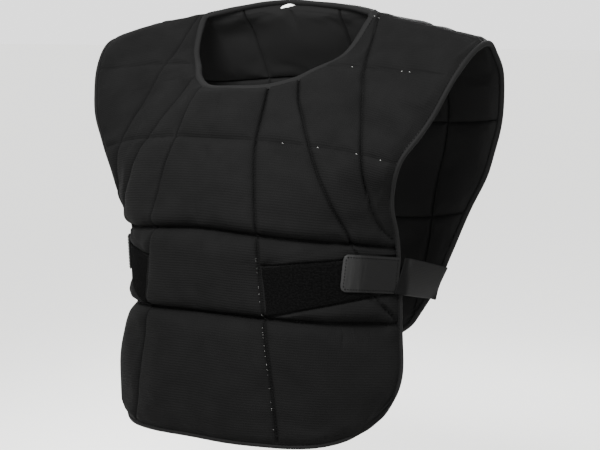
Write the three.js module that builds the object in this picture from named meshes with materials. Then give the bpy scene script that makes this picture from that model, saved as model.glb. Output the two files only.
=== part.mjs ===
// Padded goalkeeper's vest for floorball, standing open as when it is worn.
// Millimetres. X points to the wearer's left, the front faces -Y, and Z is up.
// The origin lies between the wearer's shoulders, in the middle of the neck opening.
import * as THREE from 'three';

// Thicknesses: padding between seams, at a seam, inside a binding and under the loop patch, and tapes
const PAD = 10;
const QUILTED = 3;
const BOUND = 2.4;
const UNDER_PATCH = 6;
const BINDING_TAPE = 1.4;
const LOOP_TAPE = 1.5;
const HOOK_TAPE = 2;
const ELASTIC = 1.8;
const LABEL = { wide: 24, high: 7.5, thick: 0.8 };
const GAP = 0.4;

// Widths along the cloth: the thin edge inside a binding, the binding, a pad's rise beside a seam
const BOUND_EDGE = 10;
const BINDING_WIDTH = 8.5;
const PUFF_RISE = 16;
const STRAP_WIDTH = 39;

// Cross sections of the body, from the back hem over the shoulder seam at row 0 to the front hem.
// z: height at the middle, drop: how much lower the edge lies, bend: the power of that drop,
// half: half width, y0 to y3: depth at the middle, at one third, at two thirds and at the edge.
const FIRST_ROW = -8;
const SECTIONS = [
  { z: -372, drop: 10, bend: 2, half: 120, y0: 88, y1: 87, y2: 83, y3: 66 },
  { z: -300, drop: 18, bend: 2, half: 144, y0: 88, y1: 87, y2: 81, y3: 60 },
  { z: -250, drop: 20, bend: 2, half: 168, y0: 87, y1: 86, y2: 80, y3: 58 },
  { z: -190, drop: 23, bend: 2, half: 193, y0: 84, y1: 83, y2: 77, y3: 57 },
  { z: -130, drop: 33, bend: 2, half: 217, y0: 76, y1: 75, y2: 71, y3: 54 },
  { z: -72, drop: 43, bend: 2, half: 233, y0: 52, y1: 53, y2: 57, y3: 48 },
  { z: -34, drop: 32, bend: 2, half: 239, y0: 28, y1: 31, y2: 39, y3: 37 },
  { z: -1, drop: 38, bend: 1.6, half: 240, y0: 6, y1: 9, y2: 17, y3: 17 },
  { z: 11, drop: 42, bend: 1.5, half: 241, y0: -8, y1: -9, y2: -9, y3: -8 },
  { z: -41, drop: 9, bend: 2, half: 236, y0: -56, y1: -46, y2: -38, y3: -43 },
  { z: -60, drop: 23, bend: 2, half: 224, y0: -98, y1: -74, y2: -62, y3: -67 },
  { z: -88, drop: 33, bend: 2, half: 207, y0: -132, y1: -106, y2: -86, y3: -83 },
  { z: -131, drop: 21, bend: 2, half: 189, y0: -152, y1: -141, y2: -116, y3: -95 },
  { z: -175, drop: 17, bend: 2, half: 177, y0: -167, y1: -161, y2: -133, y3: -87 },
  { z: -219, drop: 18, bend: 2, half: 173, y0: -174, y1: -170, y2: -138, y3: -66 },
  { z: -306, drop: 20, bend: 2, half: 170, y0: -175, y1: -171, y2: -137, y3: -53 },
  { z: -369, drop: 20, bend: 2, half: 175, y0: -180, y1: -176, y2: -143, y3: -60 },
  { z: -445, drop: 10, bend: 2, half: 175, y0: -184, y1: -179, y2: -148, y3: -74 },
];

// Upright quilting seams of the front: [row, how far across, from 0 in the middle to 1 at the edge]
const INNER_SEAM = [[2.2, 0.17], [2.6, 0.19], [4, 0.262], [5, 0.335], [6, 0.376], [7, 0.424], [9, 0.515]];
const MIDDLE_SEAM = [[2.2, 0.284], [3, 0.36], [4, 0.54], [5, 0.7], [6, 0.812], [6.7, 0.905], [6.95, 1]];
const OUTER_SEAM = [
  [0, 0.485], [1, 0.515], [2, 0.575], [3, 0.675], [4, 0.806],
  [5, 0.895], [5.55, 0.918], [5.8, 0.938], [5.95, 1],
];

// Level seams of the front: row in the middle, and how much the seam rises towards the edge
const YOKE = { row: 1.98, rise: 0.48 };
const CHEST = { row: 3.97, rise: 0 };
const WAIST = { row: 6, rise: -0.055 };
const BELLY = { row: 7, rise: 0.05 };

// Seams of the back: how far across the inner upright ones lie, [row, how far across] of the outer ones,
// a short one over the shoulder blades, and the level ones: row in the middle, and rise towards the edge
const BACK_INNER = 0.26;
const BACK_OUTER = [[0, 0.72], [4.5, 0.72], [5.3, 0.76], [6.2, 0.83], [7, 0.88], [8, 0.9]];
const BACK_YOKE = { row: 2.95, rise: 0.35, to: 0.72 };
const BACK_LEVELS = [{ row: 3.77, rise: 0.83 }, { row: 5.63, rise: 0.6 }, { row: 6.7, rise: 0.4 }];

// Neckline: its ends on the shoulder seam, where it turns across the chest, its lowest row,
// and how far behind the shoulder seam's row the back's neckline lies in the middle
const NECK = { shoulder: 0.448, turn: 0.284, turnRow: 2.2, bottomRow: 2.65, backDip: 0.3 };

// Hems: lowest row, middle of the rounded corner, row where the corner starts,
// and how sharply the side edge and the hem turn into the corner
const FRONT_HEM = { row: 8.9, cornerRow: 8.44, corner: 0.935, startRow: 7.2, sideTurn: 3.3, hemTurn: 9 };
const BACK_HEM = { row: 7.95, cornerRow: 7.5, corner: 0.9, startRow: 6.3, sideTurn: 2.6, hemTurn: 6 };

// How many rows of the chart a bound edge takes up at the neck, at the back's neck and at the hems
const NECK_RING = 0.24;
const BACK_NECK_RING = 0.45;
const HEM_RING = 0.135;

// Loop patch: rows of its edges at its inner end, and how much they rise for each unit across
const PATCH = { from: 0.43, to: 0.885, top: 6.385, topRise: 0.4, bottom: 6.955, bottomRise: 0.7 };

// Hook tab and strap: places across and rows of their middle line, on the front and on the back
const TAB = { from: 0.768, to: 0.984, row: 6.38 };
const STRAP_FRONT = { from: 0.987, to: 1.012, row: 6.38 };
const STRAP_BACK = { from: 1.012, to: 0.7, row: 6.56, endRow: 6.72 };

const mix = THREE.MathUtils.lerp;
const clamp = THREE.MathUtils.clamp;

// Smooth curve through evenly spaced values
function through(values, at) {
  const i = clamp(Math.floor(at), 0, values.length - 2);
  const before = values[i - 1] ?? 2 * values[i] - values[i + 1];
  const after = values[i + 2] ?? 2 * values[i + 1] - values[i];
  const start = (values[i + 1] - before) / 2;
  const end = (after - values[i]) / 2;
  const f = at - i;
  const f2 = f * f;
  const f3 = f2 * f;
  return values[i] * (2 * f3 - 3 * f2 + 1) + values[i + 1] * (3 * f2 - 2 * f3)
    + start * (f3 - 2 * f2 + f) + end * (f3 - f2);
}

const column = (name) => SECTIONS.map((section) => section[name]);
const HEIGHT = column('z');
const DROP = column('drop');
const BEND = column('bend');
const HALF = column('half');
const DEPTHS = ['y1', 'y0', 'y1', 'y2', 'y3'].map(column);

// The chart: a point of the padding's middle surface, across from -1 to 1 and along by row
function place(across, row) {
  const side = Math.abs(across);
  const at = row - FIRST_ROW;
  const depths = DEPTHS.map((values) => through(values, at));
  const y = through(depths, 1 + 3 * side);
  const z = through(HEIGHT, at) - through(DROP, at) * side ** through(BEND, at);
  return new THREE.Vector3(through(HALF, at) * across, y, z);
}

// Direction out of the vest at a point of the chart
function outward(across, row) {
  const step = 0.01;
  const along = place(across, row + step).sub(place(across, row - step));
  const over = place(across + step, row).sub(place(across - step, row));
  return along.cross(over).normalize();
}

// Direction up the cloth at a point of the chart, on the front or on the back
function upward(across, row) {
  const step = 0.1 * Math.sign(row);
  return place(across, row - step).sub(place(across, row + step)).normalize();
}

const lifted = (across, row, lift) => place(across, row).addScaledVector(outward(across, row), lift);
const edgeShare = (row) => BOUND_EDGE / through(HALF, row - FIRST_ROW);

// Place across of an upright seam at a row
function seamAt(seam, row) {
  const next = clamp(seam.findIndex(([at]) => at > row), 1, seam.length - 1);
  const last = row >= seam.at(-1)[0] ? seam.length - 1 : next;
  const [[row0, across0], [row1, across1]] = [seam[last - 1], seam[last]];
  return mix(across0, across1, clamp((row - row0) / (row1 - row0), 0, 1));
}

const levelAt = (seam, across) => seam.row - seam.rise * across;
const backLevel = (seam, across) => seam.row - seam.rise * across ** 3;
const backYoke = (across) => BACK_YOKE.row - BACK_YOKE.rise * Math.min(across / BACK_YOKE.to, 1.1) ** 6;

// A panel's side edge and hem, which round off towards each other at the corner
function sideEdge(hem, row) {
  const share = Math.max(row - hem.startRow, 0) / (hem.cornerRow - hem.startRow);
  return 1 - (1 - hem.corner) * share ** hem.sideTurn;
}

function hemRow(hem, across) {
  return hem.row - (hem.row - hem.cornerRow) * (across / hem.corner) ** hem.hemTurn;
}

// The neckline beside the neck, and across the chest
const neckSide = (row) => mix(NECK.shoulder, NECK.turn, (row / NECK.turnRow) ** 1.5);
function neckBottom(across) {
  const share = Math.min(across / NECK.turn, 1);
  return mix(NECK.bottomRow, NECK.turnRow, share ** 3.75);
}

const patchTop = (across) => PATCH.top - PATCH.topRise * Math.max(across - PATCH.from, 0);
const patchBottom = (across) => PATCH.bottom - PATCH.bottomRise * Math.max(across - PATCH.from, 0);

// Both panels stop this share of a row short of the shoulder seam, so they lie about 0.3 mm apart
const SEAM_GAP = 0.0055;

// The front's mesh lines follow its seams. Columns: middle, inner seam, middle seam or neckline,
// inside of the neck's bound edge, outer seam, inside of the bound side edge, side edge.
const front = {
  columnSteps: [2, 3, 1, 2, 2, 1],
  rowSteps: [3, 1, 1, 4, 5, 2, 2, 1, 4, 1],
  neck: { column: 2, row: 2 },
  columns(row) {
    const ring = edgeShare(row);
    const edge = sideEdge(FRONT_HEM, row);
    const besideNeck = row < NECK.turnRow;
    const belowWaist = clamp((row - WAIST.row) / (FRONT_HEM.row - WAIST.row), 0, 1);
    const middleSeam = mix(seamAt(MIDDLE_SEAM, Math.min(row, WAIST.row)), 0.7, belowWaist);
    const middle = besideNeck ? neckSide(row) : middleSeam;
    const outerSeam = Math.min(seamAt(OUTER_SEAM, row), edge - 2.2 * ring);
    const spread = mix(0.15, 0.45, clamp((row - NECK.turnRow) / 1.5, 0, 1));
    const insideNeck = besideNeck ? middle + ring : mix(middle, outerSeam, spread);
    const outer = Math.max(outerSeam, insideNeck + ring / 2);
    return [0, seamAt(INNER_SEAM, row), middle, insideNeck, outer, edge - ring, edge];
  },
  rows(across) {
    const neck = neckBottom(across);
    const hem = hemRow(FRONT_HEM, across);
    return [
      SEAM_GAP, levelAt(YOKE, across), neck, neck + NECK_RING, levelAt(CHEST, across),
      levelAt(WAIST, across), patchTop(across), patchBottom(across), levelAt(BELLY, across),
      hem - HEM_RING, hem,
    ];
  },
  thin: (c, r) => c >= 5 || r >= 9 || r === 0 || (c <= 3 && r <= 3),
  underPatch: (c, r) => c > 1 && c < 5 && r >= 6 && r <= 7,
};

// The back's columns: middle, inner seam, end of the neckline, outer seam, bound edge's inside, edge
const back = {
  columnSteps: [2, 3, 2, 3, 1],
  rowSteps: [1, 4, 2, 4, 2, 3, 1],
  neck: { column: 2, row: 0 },
  columns(row) {
    const edge = sideEdge(BACK_HEM, -row);
    const ring = edgeShare(row);
    const outer = Math.min(seamAt(BACK_OUTER, -row), edge - 2.2 * ring);
    return [0, BACK_INNER, NECK.shoulder, outer, edge - ring, edge];
  },
  rows(across) {
    const top = SEAM_GAP + NECK.backDip * Math.max(1 - (across / NECK.shoulder) ** 2, 0);
    const hem = hemRow(BACK_HEM, across);
    const levels = BACK_LEVELS.map((seam) => backLevel(seam, across));
    const downward = [top, top + BACK_NECK_RING, backYoke(across), ...levels, hem - HEM_RING, hem];
    return downward.map((row) => -row);
  },
  thin: (c, r) => c >= 4 || r >= 6 || r === 0 || (c <= 2 && r <= 1),
  underPatch: () => false,
};

// Seams as points in space, from which each pad's height is measured
const SAMPLES = 60;
const shares = Array.from({ length: SAMPLES + 1 }, (_, i) => i / SAMPLES);
function seamPoints(from, to, point) {
  return shares.flatMap((share) => {
    const [across, row] = point(mix(from, to, share));
    return [place(across, row), place(-across, row)];
  });
}
const upright = (seam) => seamPoints(seam[0][0], seam.at(-1)[0], (row) => [seamAt(seam, row), row]);
const level = (from, rowAt) => seamPoints(from, 1, (across) => [across, rowAt(across)]);
front.seams = [
  ...[INNER_SEAM, MIDDLE_SEAM, OUTER_SEAM].flatMap(upright),
  ...level(neckSide(YOKE.row), (across) => levelAt(YOKE, across)),
  ...[CHEST, WAIST, BELLY].flatMap((seam) => level(0, (across) => levelAt(seam, across))),
  ...[patchTop, patchBottom].flatMap((rowAt) => level(PATCH.from, rowAt)),
];
back.seams = [
  ...seamPoints(0, BACK_HEM.row, (row) => [BACK_INNER, -row]),
  ...seamPoints(0, BACK_HEM.cornerRow, (row) => [seamAt(BACK_OUTER, row), -row]),
  ...seamPoints(0, BACK_YOKE.to, (across) => [across, -backYoke(across)]),
  ...BACK_LEVELS.flatMap((seam) => level(0, (across) => -backLevel(seam, across))),
];

// Half of the padding's thickness at a mesh point
function halfThickness(panel, point, c, r) {
  if (panel.thin(c, r)) return BOUND / 2;
  if (panel.underPatch(c, r)) return UNDER_PATCH / 2;
  const nearest = Math.min(...panel.seams.map((seam) => seam.distanceTo(point)));
  const swell = Math.sqrt(clamp(nearest / PUFF_RISE, 0, 1));
  return mix(QUILTED, PAD, swell) / 2;
}

// Positions of mesh lines, counted in key lines: 0, 0.5, 1, 1.33 and so on
const linePositions = (steps) => steps.flatMap((count, key) =>
  Array.from({ length: count }, (_, i) => key + i / count)).concat(steps.length);

const between = (values, at) => {
  const key = Math.min(Math.floor(at), values.length - 2);
  return mix(values[key], values[key + 1], at - key);
};

// Settles where a column line and a row line cross, as each bends with the other
const CROSSING_ROUNDS = 60;
function crossing(panel, c, r) {
  let across = 0.5;
  let row = between(panel.rows(across), r);
  for (let round = 0; round < CROSSING_ROUNDS; round += 1) {
    across = between(panel.columns(row), c);
    row = between(panel.rows(across), r);
  }
  return { across, row };
}

// Works out a panel's mesh points, with the column number running from the right edge to the left
function layOut(panel) {
  const half = linePositions(panel.columnSteps);
  const mirrored = half.slice(1).reverse().map((c) => -c);
  panel.columnLines = [...mirrored, ...half];
  panel.rowLines = linePositions(panel.rowSteps);
  panel.points = panel.columnLines.map((c) => panel.rowLines.map((r) => {
    const size = Math.abs(c);
    const { across, row } = crossing(panel, size, r);
    const signed = c < 0 ? -across : across;
    const middle = place(signed, row);
    const out = outward(signed, row);
    const depth = halfThickness(panel, middle, size, r);
    return { middle, out, depth };
  }));
}

const isOpen = (panel, c, r) => Math.abs(c) < panel.neck.column && r < panel.neck.row;

// Closed mesh from corner points and triangles, turned so that its faces look outward
function closedGeometry(corners, triangles) {
  const volume = triangles.reduce((sum, [a, b, c]) => {
    const cross = new THREE.Vector3().crossVectors(corners[b], corners[c]);
    return sum + corners[a].dot(cross);
  }, 0);
  const facing = volume > 0 ? triangles : triangles.map(([a, b, c]) => [a, c, b]);
  const geometry = new THREE.BufferGeometry().setFromPoints(corners);
  geometry.setIndex(facing.flat());
  geometry.computeVertexNormals();
  return geometry;
}

// Two triangles for a four-sided face, split along its shorter diagonal
function splitQuad(corners, a, b, c, d) {
  const isShort = corners[a].distanceTo(corners[c]) < corners[b].distanceTo(corners[d]);
  return isShort ? [[a, b, c], [a, c, d]] : [[a, b, d], [b, c, d]];
}

// A panel: its outer and inner face, joined all round its rim
function panelGeometry(panel) {
  const rows = panel.rowLines.length;
  const count = panel.columnLines.length * rows;
  const flat = panel.points.flat();
  const middles = flat.map((p) => p.middle);
  const outer = flat.map((p) => p.middle.clone().addScaledVector(p.out, p.depth));
  const inner = flat.map((p) => p.middle.clone().addScaledVector(p.out, -p.depth));
  const faces = [];
  for (let i = 0; i + 1 < panel.columnLines.length; i += 1) {
    for (let j = 0; j + 1 < rows; j += 1) {
      const c = (panel.columnLines[i] + panel.columnLines[i + 1]) / 2;
      const r = (panel.rowLines[j] + panel.rowLines[j + 1]) / 2;
      if (isOpen(panel, c, r)) continue;
      const here = i * rows + j;
      const next = here + rows;
      faces.push(...splitQuad(middles, here, next, next + 1, here + 1));
    }
  }
  const edges = new Set(faces.flatMap(([a, b, c]) => [`${a},${b}`, `${b},${c}`, `${c},${a}`]));
  const rim = [];
  for (const edge of edges) {
    const [a, b] = edge.split(',').map(Number);
    if (edges.has(`${b},${a}`)) continue;
    rim.push([b, a, a + count], [b, a + count, b + count]);
  }
  const inside = faces.map(([a, b, c]) => [a + count, c + count, b + count]);
  const used = [...new Set([...faces, ...inside].flat())];
  const order = new Map(used.map((corner, i) => [corner, i]));
  const all = [...outer, ...inner];
  const triangles = [...faces, ...inside, ...rim].map((face) => face.map((corner) => order.get(corner)));
  return closedGeometry(used.map((corner) => all[corner]), triangles);
}

// Sweeps sections with equal numbers of corners into a closed ring or a bar with flat ends
function sweep(sections, isRing) {
  const size = sections[0].length;
  const corners = sections.flat();
  const triangles = [];
  const last = isRing ? sections.length : sections.length - 1;
  for (let s = 0; s < last; s += 1) {
    const here = s * size;
    const next = ((s + 1) % sections.length) * size;
    for (let k = 0; k < size; k += 1) {
      const k2 = (k + 1) % size;
      triangles.push(...splitQuad(corners, here + k, here + k2, next + k2, next + k));
    }
  }
  if (!isRing) {
    const end = (sections.length - 1) * size;
    for (let k = 1; k + 1 < size; k += 1) {
      triangles.push([0, k + 1, k], [end, end + k, end + k + 1]);
    }
  }
  return closedGeometry(corners, triangles);
}

// Tape folded over an edge: [distance in from the edge, distance out from the middle surface]
const TAPE_INSIDE = BOUND / 2 + 3 * GAP;
const TAPE_OUTSIDE = TAPE_INSIDE + BINDING_TAPE;
const FOLD = GAP + BINDING_TAPE;
const TAPE_PROFILE = [
  [BINDING_WIDTH, TAPE_OUTSIDE], [-FOLD, TAPE_OUTSIDE],
  [-FOLD, -TAPE_OUTSIDE], [BINDING_WIDTH, -TAPE_OUTSIDE],
  [BINDING_WIDTH, -TAPE_INSIDE], [-GAP, -TAPE_INSIDE],
  [-GAP, TAPE_INSIDE], [BINDING_WIDTH, TAPE_INSIDE],
];

// A station lies between a point on the edge and a point further in, and follows the cloth's bend
function tapePoint({ edge, inside }, distance, offset) {
  const reach = inside.middle.distanceTo(edge.middle);
  const share = Math.min(distance / reach, BINDING_WIDTH / BOUND_EDGE);
  const out = edge.out.clone().lerp(inside.out, Math.max(share, 0)).normalize();
  return edge.middle.clone().lerp(inside.middle, share).addScaledVector(out, offset);
}

function bindingGeometry(stations) {
  const sections = stations.map((station) => {
    const stretch = station.stretch ?? 1;
    return TAPE_PROFILE.map(([distance, offset]) => tapePoint(station, distance * stretch, offset));
  });
  return sweep(sections, true);
}

// A binding's station at mesh point i, j, reaching in towards its neighbour
function station(panel, i, j, neighbourI, neighbourJ) {
  return { edge: panel.points[i][j], inside: panel.points[neighbourI][neighbourJ] };
}

// Whole numbers from one to another, up or down
function range(from, to) {
  const step = Math.sign(to - from);
  return Array.from({ length: Math.abs(to - from) + 1 }, (_, i) => from + i * step);
}

// Stations down one side of a panel, along its hem and up its other side
function outerEdge(panel) {
  const lastI = panel.columnLines.length - 1;
  const lastJ = panel.rowLines.length - 1;
  const down = range(0, lastJ - 1).map((j) => station(panel, 0, j, 1, j));
  const along = range(1, lastI - 1).map((i) => station(panel, i, lastJ, i, lastJ - 1));
  const up = range(lastJ - 1, 0).map((j) => station(panel, lastI, j, lastI - 1, j));
  const rightCorner = station(panel, 0, lastJ, 1, lastJ - 1);
  const leftCorner = station(panel, lastI, lastJ, lastI - 1, lastJ - 1);
  return [...down, rightCorner, ...along, leftCorner, ...up];
}

// Mesh line numbers of the neckline's ends or turns
function neckLines(panel) {
  const right = panel.columnLines.indexOf(-panel.neck.column);
  const left = panel.columnLines.indexOf(panel.neck.column);
  return { right, left, bottom: panel.rowLines.indexOf(panel.neck.row) };
}

// At the neckline's ends the tape turns from the front to the back, with a mitre
function mitred(edge, side) {
  const across = side * (NECK.shoulder + edgeShare(0));
  const row = -BACK_NECK_RING;
  const inside = { middle: place(across, row), out: outward(across, row) };
  return { edge, inside, stretch: Math.SQRT2 };
}

function neckEdge() {
  const f = neckLines(front);
  const b = neckLines(back);
  const down = range(0, f.bottom - 1).map((j) => station(front, f.right, j, f.right - 1, j));
  const turnRight = station(front, f.right, f.bottom, f.right - 1, f.bottom + 1);
  const along = range(f.right + 1, f.left - 1).map((i) => station(front, i, f.bottom, i, f.bottom + 1));
  const turnLeft = station(front, f.left, f.bottom, f.left + 1, f.bottom + 1);
  const up = range(f.bottom - 1, 0).map((j) => station(front, f.left, j, f.left + 1, j));
  const leftEnd = mitred(back.points[b.left][0], 1);
  const behind = range(b.left - 1, b.right + 1).map((i) => station(back, i, 0, i, 1));
  const rightEnd = mitred(back.points[b.right][0], -1);
  return [...down, turnRight, ...along, turnLeft, ...up, leftEnd, ...behind, rightEnd];
}

// Loop patch: a thin plate that follows the front's flattened strip
function patchGeometry(side) {
  const lift = UNDER_PATCH / 2 + GAP;
  const margin = 0.012;
  const steps = 9;
  const levels = [0, 1 / 3, 2 / 3, 1];
  const sections = Array.from({ length: steps + 1 }, (_, i) => {
    const across = mix(PATCH.from, PATCH.to, i / steps);
    const rows = levels.map((f) => mix(patchTop(across) + margin, patchBottom(across) - margin, f));
    const top = rows.map((row) => lifted(side * across, row, lift + LOOP_TAPE));
    const under = rows.map((row) => lifted(side * across, row, lift)).reverse();
    return [...top, ...under];
  });
  return sweep(sections, false);
}

// Flat strip along stations with a middle point, an up direction and an out direction
function stripGeometry(stations, thickness) {
  const sections = stations.map(({ middle, up, out }) => {
    const corner = (height, lift) => middle.clone().addScaledVector(up, height).addScaledVector(out, lift);
    const half = STRAP_WIDTH / 2;
    return [corner(half, 0), corner(half, thickness), corner(-half, thickness), corner(-half, 0)];
  });
  return sweep(sections, false);
}

const TAB_LIFT = UNDER_PATCH / 2 + GAP + LOOP_TAPE + GAP;
const BACK_LIFT = PAD / 2 + 2 * GAP;
function strapStation(side, across, row) {
  return {
    middle: lifted(side * across, row, row > 0 ? TAB_LIFT : BACK_LIFT),
    up: upward(side * across, row),
    out: outward(side * across, row),
  };
}

function tabGeometry(side) {
  const steps = 6;
  const places = range(0, steps).map((i) => mix(TAB.from, TAB.to, i / steps));
  return stripGeometry(places.map((across) => strapStation(side, across, TAB.row)), HOOK_TAPE);
}

// The elastic leaves the tab, spans the open side and lies on the outside of the back
function strapGeometry(side) {
  const backSteps = 5;
  const spanSteps = 6;
  const frontPlaces = [STRAP_FRONT.from, STRAP_FRONT.to];
  const onFront = frontPlaces.map((across) => strapStation(side, across, STRAP_FRONT.row));
  const onBack = range(0, backSteps).map((i) => {
    const share = i / backSteps;
    const row = mix(STRAP_BACK.row, STRAP_BACK.endRow, share);
    return strapStation(side, mix(STRAP_BACK.from, STRAP_BACK.to, share), -row);
  });
  const [leave, arrive] = [onFront[1], onBack[0]];
  const span = range(1, spanSteps - 1).map((i) => {
    const share = i / spanSteps;
    const blend = (key) => leave[key].clone().lerp(arrive[key], share);
    return { middle: blend('middle'), up: blend('up').normalize(), out: blend('out').normalize() };
  });
  return stripGeometry([...onFront, ...span, ...onBack], ELASTIC);
}

// Small oval label on the inside of the back's neck binding
function labelMesh(material) {
  const shape = new THREE.Shape().absellipse(0, 0, LABEL.wide / 2, LABEL.high / 2, 0, 2 * Math.PI);
  const plate = { depth: LABEL.thick, bevelEnabled: false, curveSegments: 16 };
  const mesh = new THREE.Mesh(new THREE.ExtrudeGeometry(shape, plate), material);
  const middleLine = (back.columnLines.length - 1) / 2;
  const tape = station(back, middleLine, 0, middleLine, 1);
  const middle = (BINDING_WIDTH - FOLD) / 2;
  const top = tapePoint(tape, middle - LABEL.high / 2, -TAPE_OUTSIDE);
  const bottom = tapePoint(tape, middle + LABEL.high / 2, -TAPE_OUTSIDE);
  const up = top.clone().sub(bottom).normalize();
  const across = new THREE.Vector3(1, 0, 0);
  const inside = across.clone().cross(up);
  mesh.quaternion.setFromRotationMatrix(new THREE.Matrix4().makeBasis(across, up, inside));
  mesh.position.copy(top).lerp(bottom, 0.5).addScaledVector(inside, 2 * GAP);
  return mesh;
}

const finish = (color, roughness) => new THREE.MeshStandardMaterial({ color, roughness, metalness: 0 });
const PADDED_MESH = 0x232325;
const BINDING_BLACK = 0x343437;
const ELASTIC_BLACK = 0x2b2b2d;
const HOOK_GREY = 0x3c3c40;
const LOOP_BLACK = 0x131414;
const LABEL_WHITE = 0xf2f2f0;

const vest = new THREE.Group();
function add(name, geometry, material) {
  const mesh = new THREE.Mesh(geometry, material);
  mesh.name = name;
  vest.add(mesh);
}

layOut(front);
layOut(back);
add('front_panel', panelGeometry(front), finish(PADDED_MESH, 0.9));
add('back_panel', panelGeometry(back), finish(PADDED_MESH, 0.9));
add('neck_binding', bindingGeometry(neckEdge()), finish(BINDING_BLACK, 0.8));
const perimeter = [...outerEdge(front), ...outerEdge(back).slice(1, -1).reverse()];
add('edge_binding', bindingGeometry(perimeter), finish(BINDING_BLACK, 0.8));

const SIDES = { left: 1, right: -1 };
for (const [name, side] of Object.entries(SIDES)) {
  add(`loop_patch_${name}`, patchGeometry(side), finish(LOOP_BLACK, 1));
  add(`hook_tab_${name}`, tabGeometry(side), finish(HOOK_GREY, 0.7));
  add(`strap_${name}`, strapGeometry(side), finish(ELASTIC_BLACK, 0.8));
}

const label = labelMesh(finish(LABEL_WHITE, 0.6));
label.name = 'neck_label';
vest.add(label);

export default vest;
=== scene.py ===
# %% [markdown]
# # A padded goalkeeper vest
# The vest is two quilted panels of black knitted mesh over soft foam. They are sewn together on the
# shoulders, bound all round with folded tape, and held at the sides by elastic straps. The frame from CAD
# gives every piece its place and size. This lesson keeps those and adds what cloth does: pads that swell
# between their seams, tapes that roll, stitches, ribs, pile and the finishes.

# %% Load the frame
import math

import bpy
import numpy as np
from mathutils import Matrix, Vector
from mathutils.bvhtree import BVHTree
from mathutils.kdtree import KDTree


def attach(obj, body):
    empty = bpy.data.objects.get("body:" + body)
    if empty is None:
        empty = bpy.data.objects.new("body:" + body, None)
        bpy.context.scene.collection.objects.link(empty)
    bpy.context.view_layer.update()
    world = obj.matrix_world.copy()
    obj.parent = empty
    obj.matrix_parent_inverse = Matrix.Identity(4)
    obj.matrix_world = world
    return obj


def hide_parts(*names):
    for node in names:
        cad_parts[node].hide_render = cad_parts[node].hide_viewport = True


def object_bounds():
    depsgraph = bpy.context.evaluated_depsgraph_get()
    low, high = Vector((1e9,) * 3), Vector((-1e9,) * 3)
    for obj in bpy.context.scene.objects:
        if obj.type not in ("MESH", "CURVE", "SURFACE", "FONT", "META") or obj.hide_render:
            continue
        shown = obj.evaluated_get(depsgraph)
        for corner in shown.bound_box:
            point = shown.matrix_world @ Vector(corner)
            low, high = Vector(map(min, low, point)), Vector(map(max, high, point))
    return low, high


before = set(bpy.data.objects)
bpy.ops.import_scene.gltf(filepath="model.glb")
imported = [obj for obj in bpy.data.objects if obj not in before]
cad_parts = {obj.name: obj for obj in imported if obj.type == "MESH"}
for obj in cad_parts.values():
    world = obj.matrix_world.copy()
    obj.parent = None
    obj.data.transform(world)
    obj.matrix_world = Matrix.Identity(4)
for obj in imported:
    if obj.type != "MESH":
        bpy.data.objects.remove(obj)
cad_low, cad_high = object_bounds()
MM = 0.001
print("CAD box in mm:", [round((high - low) / MM) for low, high in zip(cad_low, cad_high)])

# %% [markdown]
# ## The body that the cloth lies on
# Worn clothing takes the shape of a body, so the first thing to draw is that shape. It is a chart with two
# directions: across, from -1 at the wearer's right edge to 1 at the left one, and rows, from the back hem
# over the shoulder seam at row 0 down to the front hem. A smooth curve runs through the same cross
# sections that the CAD part was made from, so both lie in the same place.

# %% Cross sections
FIRST_ROW = -8
# In mm: height in the middle, how much lower the edge lies, half width, and the depth in the middle, at a
# third, at two thirds and at the edge. Bend is the power of the drop towards the edge.
SECTION_NAMES = ("z", "drop", "bend", "half", "y0", "y1", "y2", "y3")
SECTION_ROWS = np.array([
    (-372, 10, 2, 120, 88, 87, 83, 66),
    (-300, 18, 2, 144, 88, 87, 81, 60),
    (-250, 20, 2, 168, 87, 86, 80, 58),
    (-190, 23, 2, 193, 84, 83, 77, 57),
    (-130, 33, 2, 217, 76, 75, 71, 54),
    (-72, 43, 2, 233, 52, 53, 57, 48),
    (-34, 32, 2, 239, 28, 31, 39, 37),
    (-1, 38, 1.6, 240, 6, 9, 17, 17),
    (11, 42, 1.5, 241, -8, -9, -9, -8),
    (-41, 9, 2, 236, -56, -46, -38, -43),
    (-60, 23, 2, 224, -98, -74, -62, -67),
    (-88, 33, 2, 207, -132, -106, -86, -83),
    (-131, 21, 2, 189, -152, -141, -116, -95),
    (-175, 17, 2, 177, -167, -161, -133, -87),
    (-219, 18, 2, 173, -174, -170, -138, -66),
    (-306, 20, 2, 170, -175, -171, -137, -53),
    (-369, 20, 2, 175, -180, -176, -143, -60),
    (-445, 10, 2, 175, -184, -179, -148, -74),
], float)
SECTIONS = dict(zip(SECTION_NAMES, SECTION_ROWS.T))


def mix(start, end, share):
    return start + (end - start) * share


def through(values, at):
    """A smooth curve through evenly spaced values, one column of values for each place or for all."""
    first = 2 * values[:1] - values[1:2]
    last = 2 * values[-1:] - values[-2:-1]
    padded = np.concatenate([first, values, last])
    i = np.clip(np.floor(at).astype(int), 0, len(values) - 2)
    before, start, end, after = (np.take_along_axis(padded, (i + k)[None], 0)[0] for k in range(4))
    f = at - i
    bend = (end - before) / 2 * (f ** 3 - 2 * f ** 2 + f) + (after - start) / 2 * (f ** 3 - f ** 2)
    return mix(start, end, f * f * (3 - 2 * f)) + bend


print("Cross sections:", len(SECTION_ROWS))

# %% [markdown]
# ## Places on the chart
# A pattern cutter marks where each seam lies on the body. These functions turn such a mark, a place across
# and a row, into a point in space, and give the direction out of the vest there. They take whole arrays,
# because a panel has thousands of points and a loop over them would be slow.

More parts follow.
